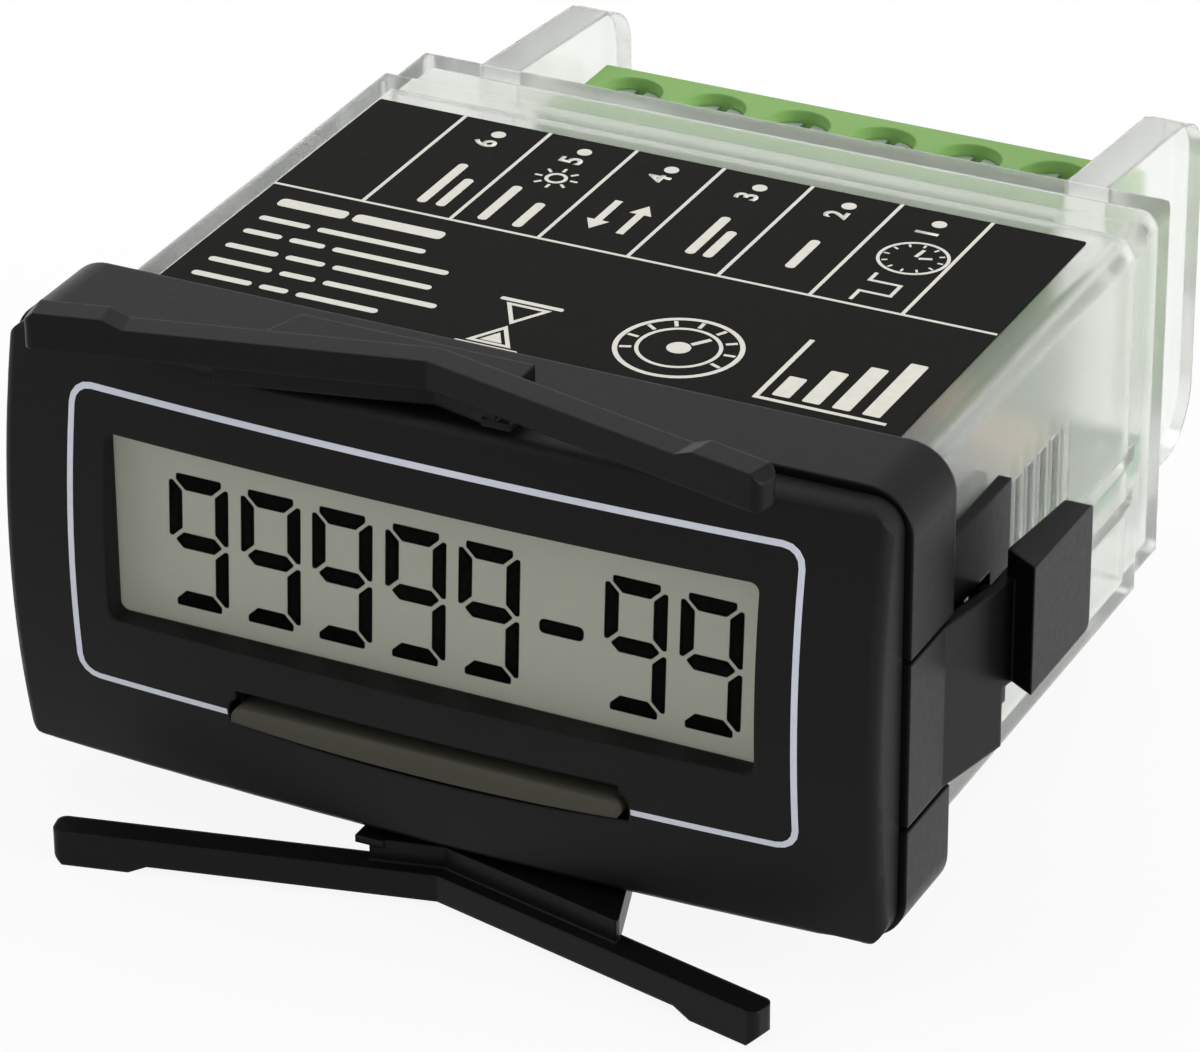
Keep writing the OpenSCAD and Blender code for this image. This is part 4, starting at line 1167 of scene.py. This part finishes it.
@dataclass
class Studio:
    """Pale floor, soft lamps, even surround and the camera of the photograph."""

    floor_mm: float
    camera_mm: tuple[float, float, float] = (122.466, -230.341, 146.595)
    look: tuple[float, float, float] = (-0.39093, 0.78713, -0.47708)
    up: tuple[float, float, float] = (-0.20654, 0.43009, 0.87884)
    lens_mm: float = 182.62
    sensor_mm: float = 36.0
    near_mm: float = 10.0
    far_mm: float = 20000.0
    surround: float = 0.45
    floor_reach_mm: float = 3000.0
    floor_tone: str = "#d8d8d6"
    floor_white: float = 0.9
    shadow_mm: float = 35.0
    white_mm: float = 95.0
    aim_mm: tuple[float, float, float] = (0, 20, 0)
    lamps: tuple[SoftBox, ...] = (
        SoftBox("lamp_right", (640, 40, 200), width_mm=500, height_mm=400, watts=5.0),
        SoftBox("lamp_left", (-520, -420, 420), width_mm=600, height_mm=500, watts=1.6),
        SoftBox("lamp_top", (-60, 60, 760), width_mm=600, height_mm=600, watts=2.0))

    def backdrop_ray(self, tree: Tree) -> Output:
        """Tells the rays that show the backdrop from those that light the meter.

        Args:
            tree: node tree that takes the nodes.

        Returns:
            1 to the eye, in gloss and through glass, and 0 to all else.
        """
        ray = add(tree, "ShaderNodeLightPath")
        clear = add(tree, "ShaderNodeMath", {"operation": "MAXIMUM"},
                    {0: (ray, "Is Camera Ray"), 1: (ray, "Is Transmission Ray")})
        return add(tree, "ShaderNodeMath", {"operation": "MAXIMUM"},
                   {0: (clear, 0), 1: (ray, "Is Glossy Ray")}), 0

    def world(self) -> None:
        """Lights from all round and shows white behind."""
        made = bpy.data.worlds.new("studio")
        made.use_nodes = True
        tree = made.node_tree
        tree.nodes.clear()
        shade = add(tree, "ShaderNodeBackground",
                    {"Color": linear(WHITE), "Strength": self.surround})
        white = add(tree, "ShaderNodeBackground", {"Color": linear(WHITE), "Strength": 1.0})
        mixed = add(tree, "ShaderNodeMixShader", {},
                    {0: self.backdrop_ray(tree), 1: (shade, 0), 2: (white, 0)})
        add(tree, "ShaderNodeOutputWorld", {}, {"Surface": (mixed, 0)})
        bpy.context.scene.world = made

    def paper(self) -> bpy.types.Material:
        """Makes the floor's white paper.

        Returns:
            A paper with a soft shadow near the meter, fading to the white surround further out.
        """
        material, tree = blank("floor_white_paper")
        shade = add(tree, "ShaderNodeBsdfDiffuse", {"Color": linear(self.floor_tone)})
        white = add(tree, "ShaderNodeEmission", {"Color": linear(WHITE), "Strength": 1.0})
        where = add(tree, "ShaderNodeTexCoord")
        away = add(tree, "ShaderNodeVectorMath", {"operation": "LENGTH"}, {0: (where, "Object")})
        fade = add(tree, "ShaderNodeMapRange",
                   {"From Min": self.shadow_mm * MM, "From Max": self.white_mm * MM,
                    "To Min": self.floor_white}, {"Value": (away, "Value")})
        part = add(tree, "ShaderNodeMath", {"operation": "MULTIPLY"},
                   {0: self.backdrop_ray(tree), 1: (fade, 0)})
        mixed = add(tree, "ShaderNodeMixShader", {}, {0: (part, 0), 1: (shade, 0), 2: (white, 0)})
        # Seen from below, the paper is clear, so that the meter's underside can be looked at.
        below = add(tree, "ShaderNodeNewGeometry")
        clear = add(tree, "ShaderNodeBsdfTransparent")
        sheet = add(tree, "ShaderNodeMixShader", {},
                    {0: (below, "Backfacing"), 1: (mixed, 0), 2: (clear, 0)})
        add(tree, "ShaderNodeOutputMaterial", {}, {"Surface": (sheet, 0)})
        return material

    def floor(self) -> None:
        """Lays the floor under the meter."""
        mesh = bmesh.new()
        bmesh.ops.create_grid(mesh, x_segments=1, y_segments=1, size=self.floor_reach_mm * MM,
                              matrix=Matrix.Translation((0, 0, self.floor_mm * MM)))
        data = bpy.data.meshes.new("floor")
        mesh.to_mesh(data)
        mesh.free()
        data.materials.append(self.paper())
        made = bpy.data.objects.new("floor", data)
        bpy.context.scene.collection.objects.link(made)
        made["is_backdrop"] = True

    def camera(self) -> None:
        """Places the camera where the photograph was taken from."""
        data = bpy.data.cameras.new("camera")
        data.lens, data.sensor_width, data.sensor_fit = self.lens_mm, self.sensor_mm, "HORIZONTAL"
        data.clip_start, data.clip_end = self.near_mm * MM, self.far_mm * MM
        holder = bpy.data.objects.new("camera", data)
        look, up = Vector(self.look).normalized(), Vector(self.up).normalized()
        turn = Matrix((look.cross(up), up, -look)).transposed().to_4x4()
        holder.matrix_world = Matrix.Translation(Vector(self.camera_mm) * MM) @ turn
        bpy.context.scene.collection.objects.link(holder)
        bpy.context.scene.camera = holder

    def build(self) -> None:
        """Sets up floor, lamps, surround and camera."""
        self.world()
        self.floor()
        for lamp in self.lamps:
            lamp.build(Vector(self.aim_mm) * MM)
        self.camera()
        bpy.context.scene.view_settings.view_transform = "Standard"


def main() -> None:
    """Loads the frame, dresses each sub-assembly and sets up the studio."""
    logging.basicConfig(level=logging.INFO, format="%(message)s")
    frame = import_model()
    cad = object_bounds()
    palette, nodes = Palette(), frame["nodes"]
    for kind in (FrontFace, Display, TopLabel, Enclosure, Boards, Terminals):
        kind(palette, nodes).build()
        LOG.info("%s built", kind.__name__)
    Studio(floor_mm=cad[0].z / MM - FLOOR_GAP_MM).build()


if __name__ == "__main__":
    main()
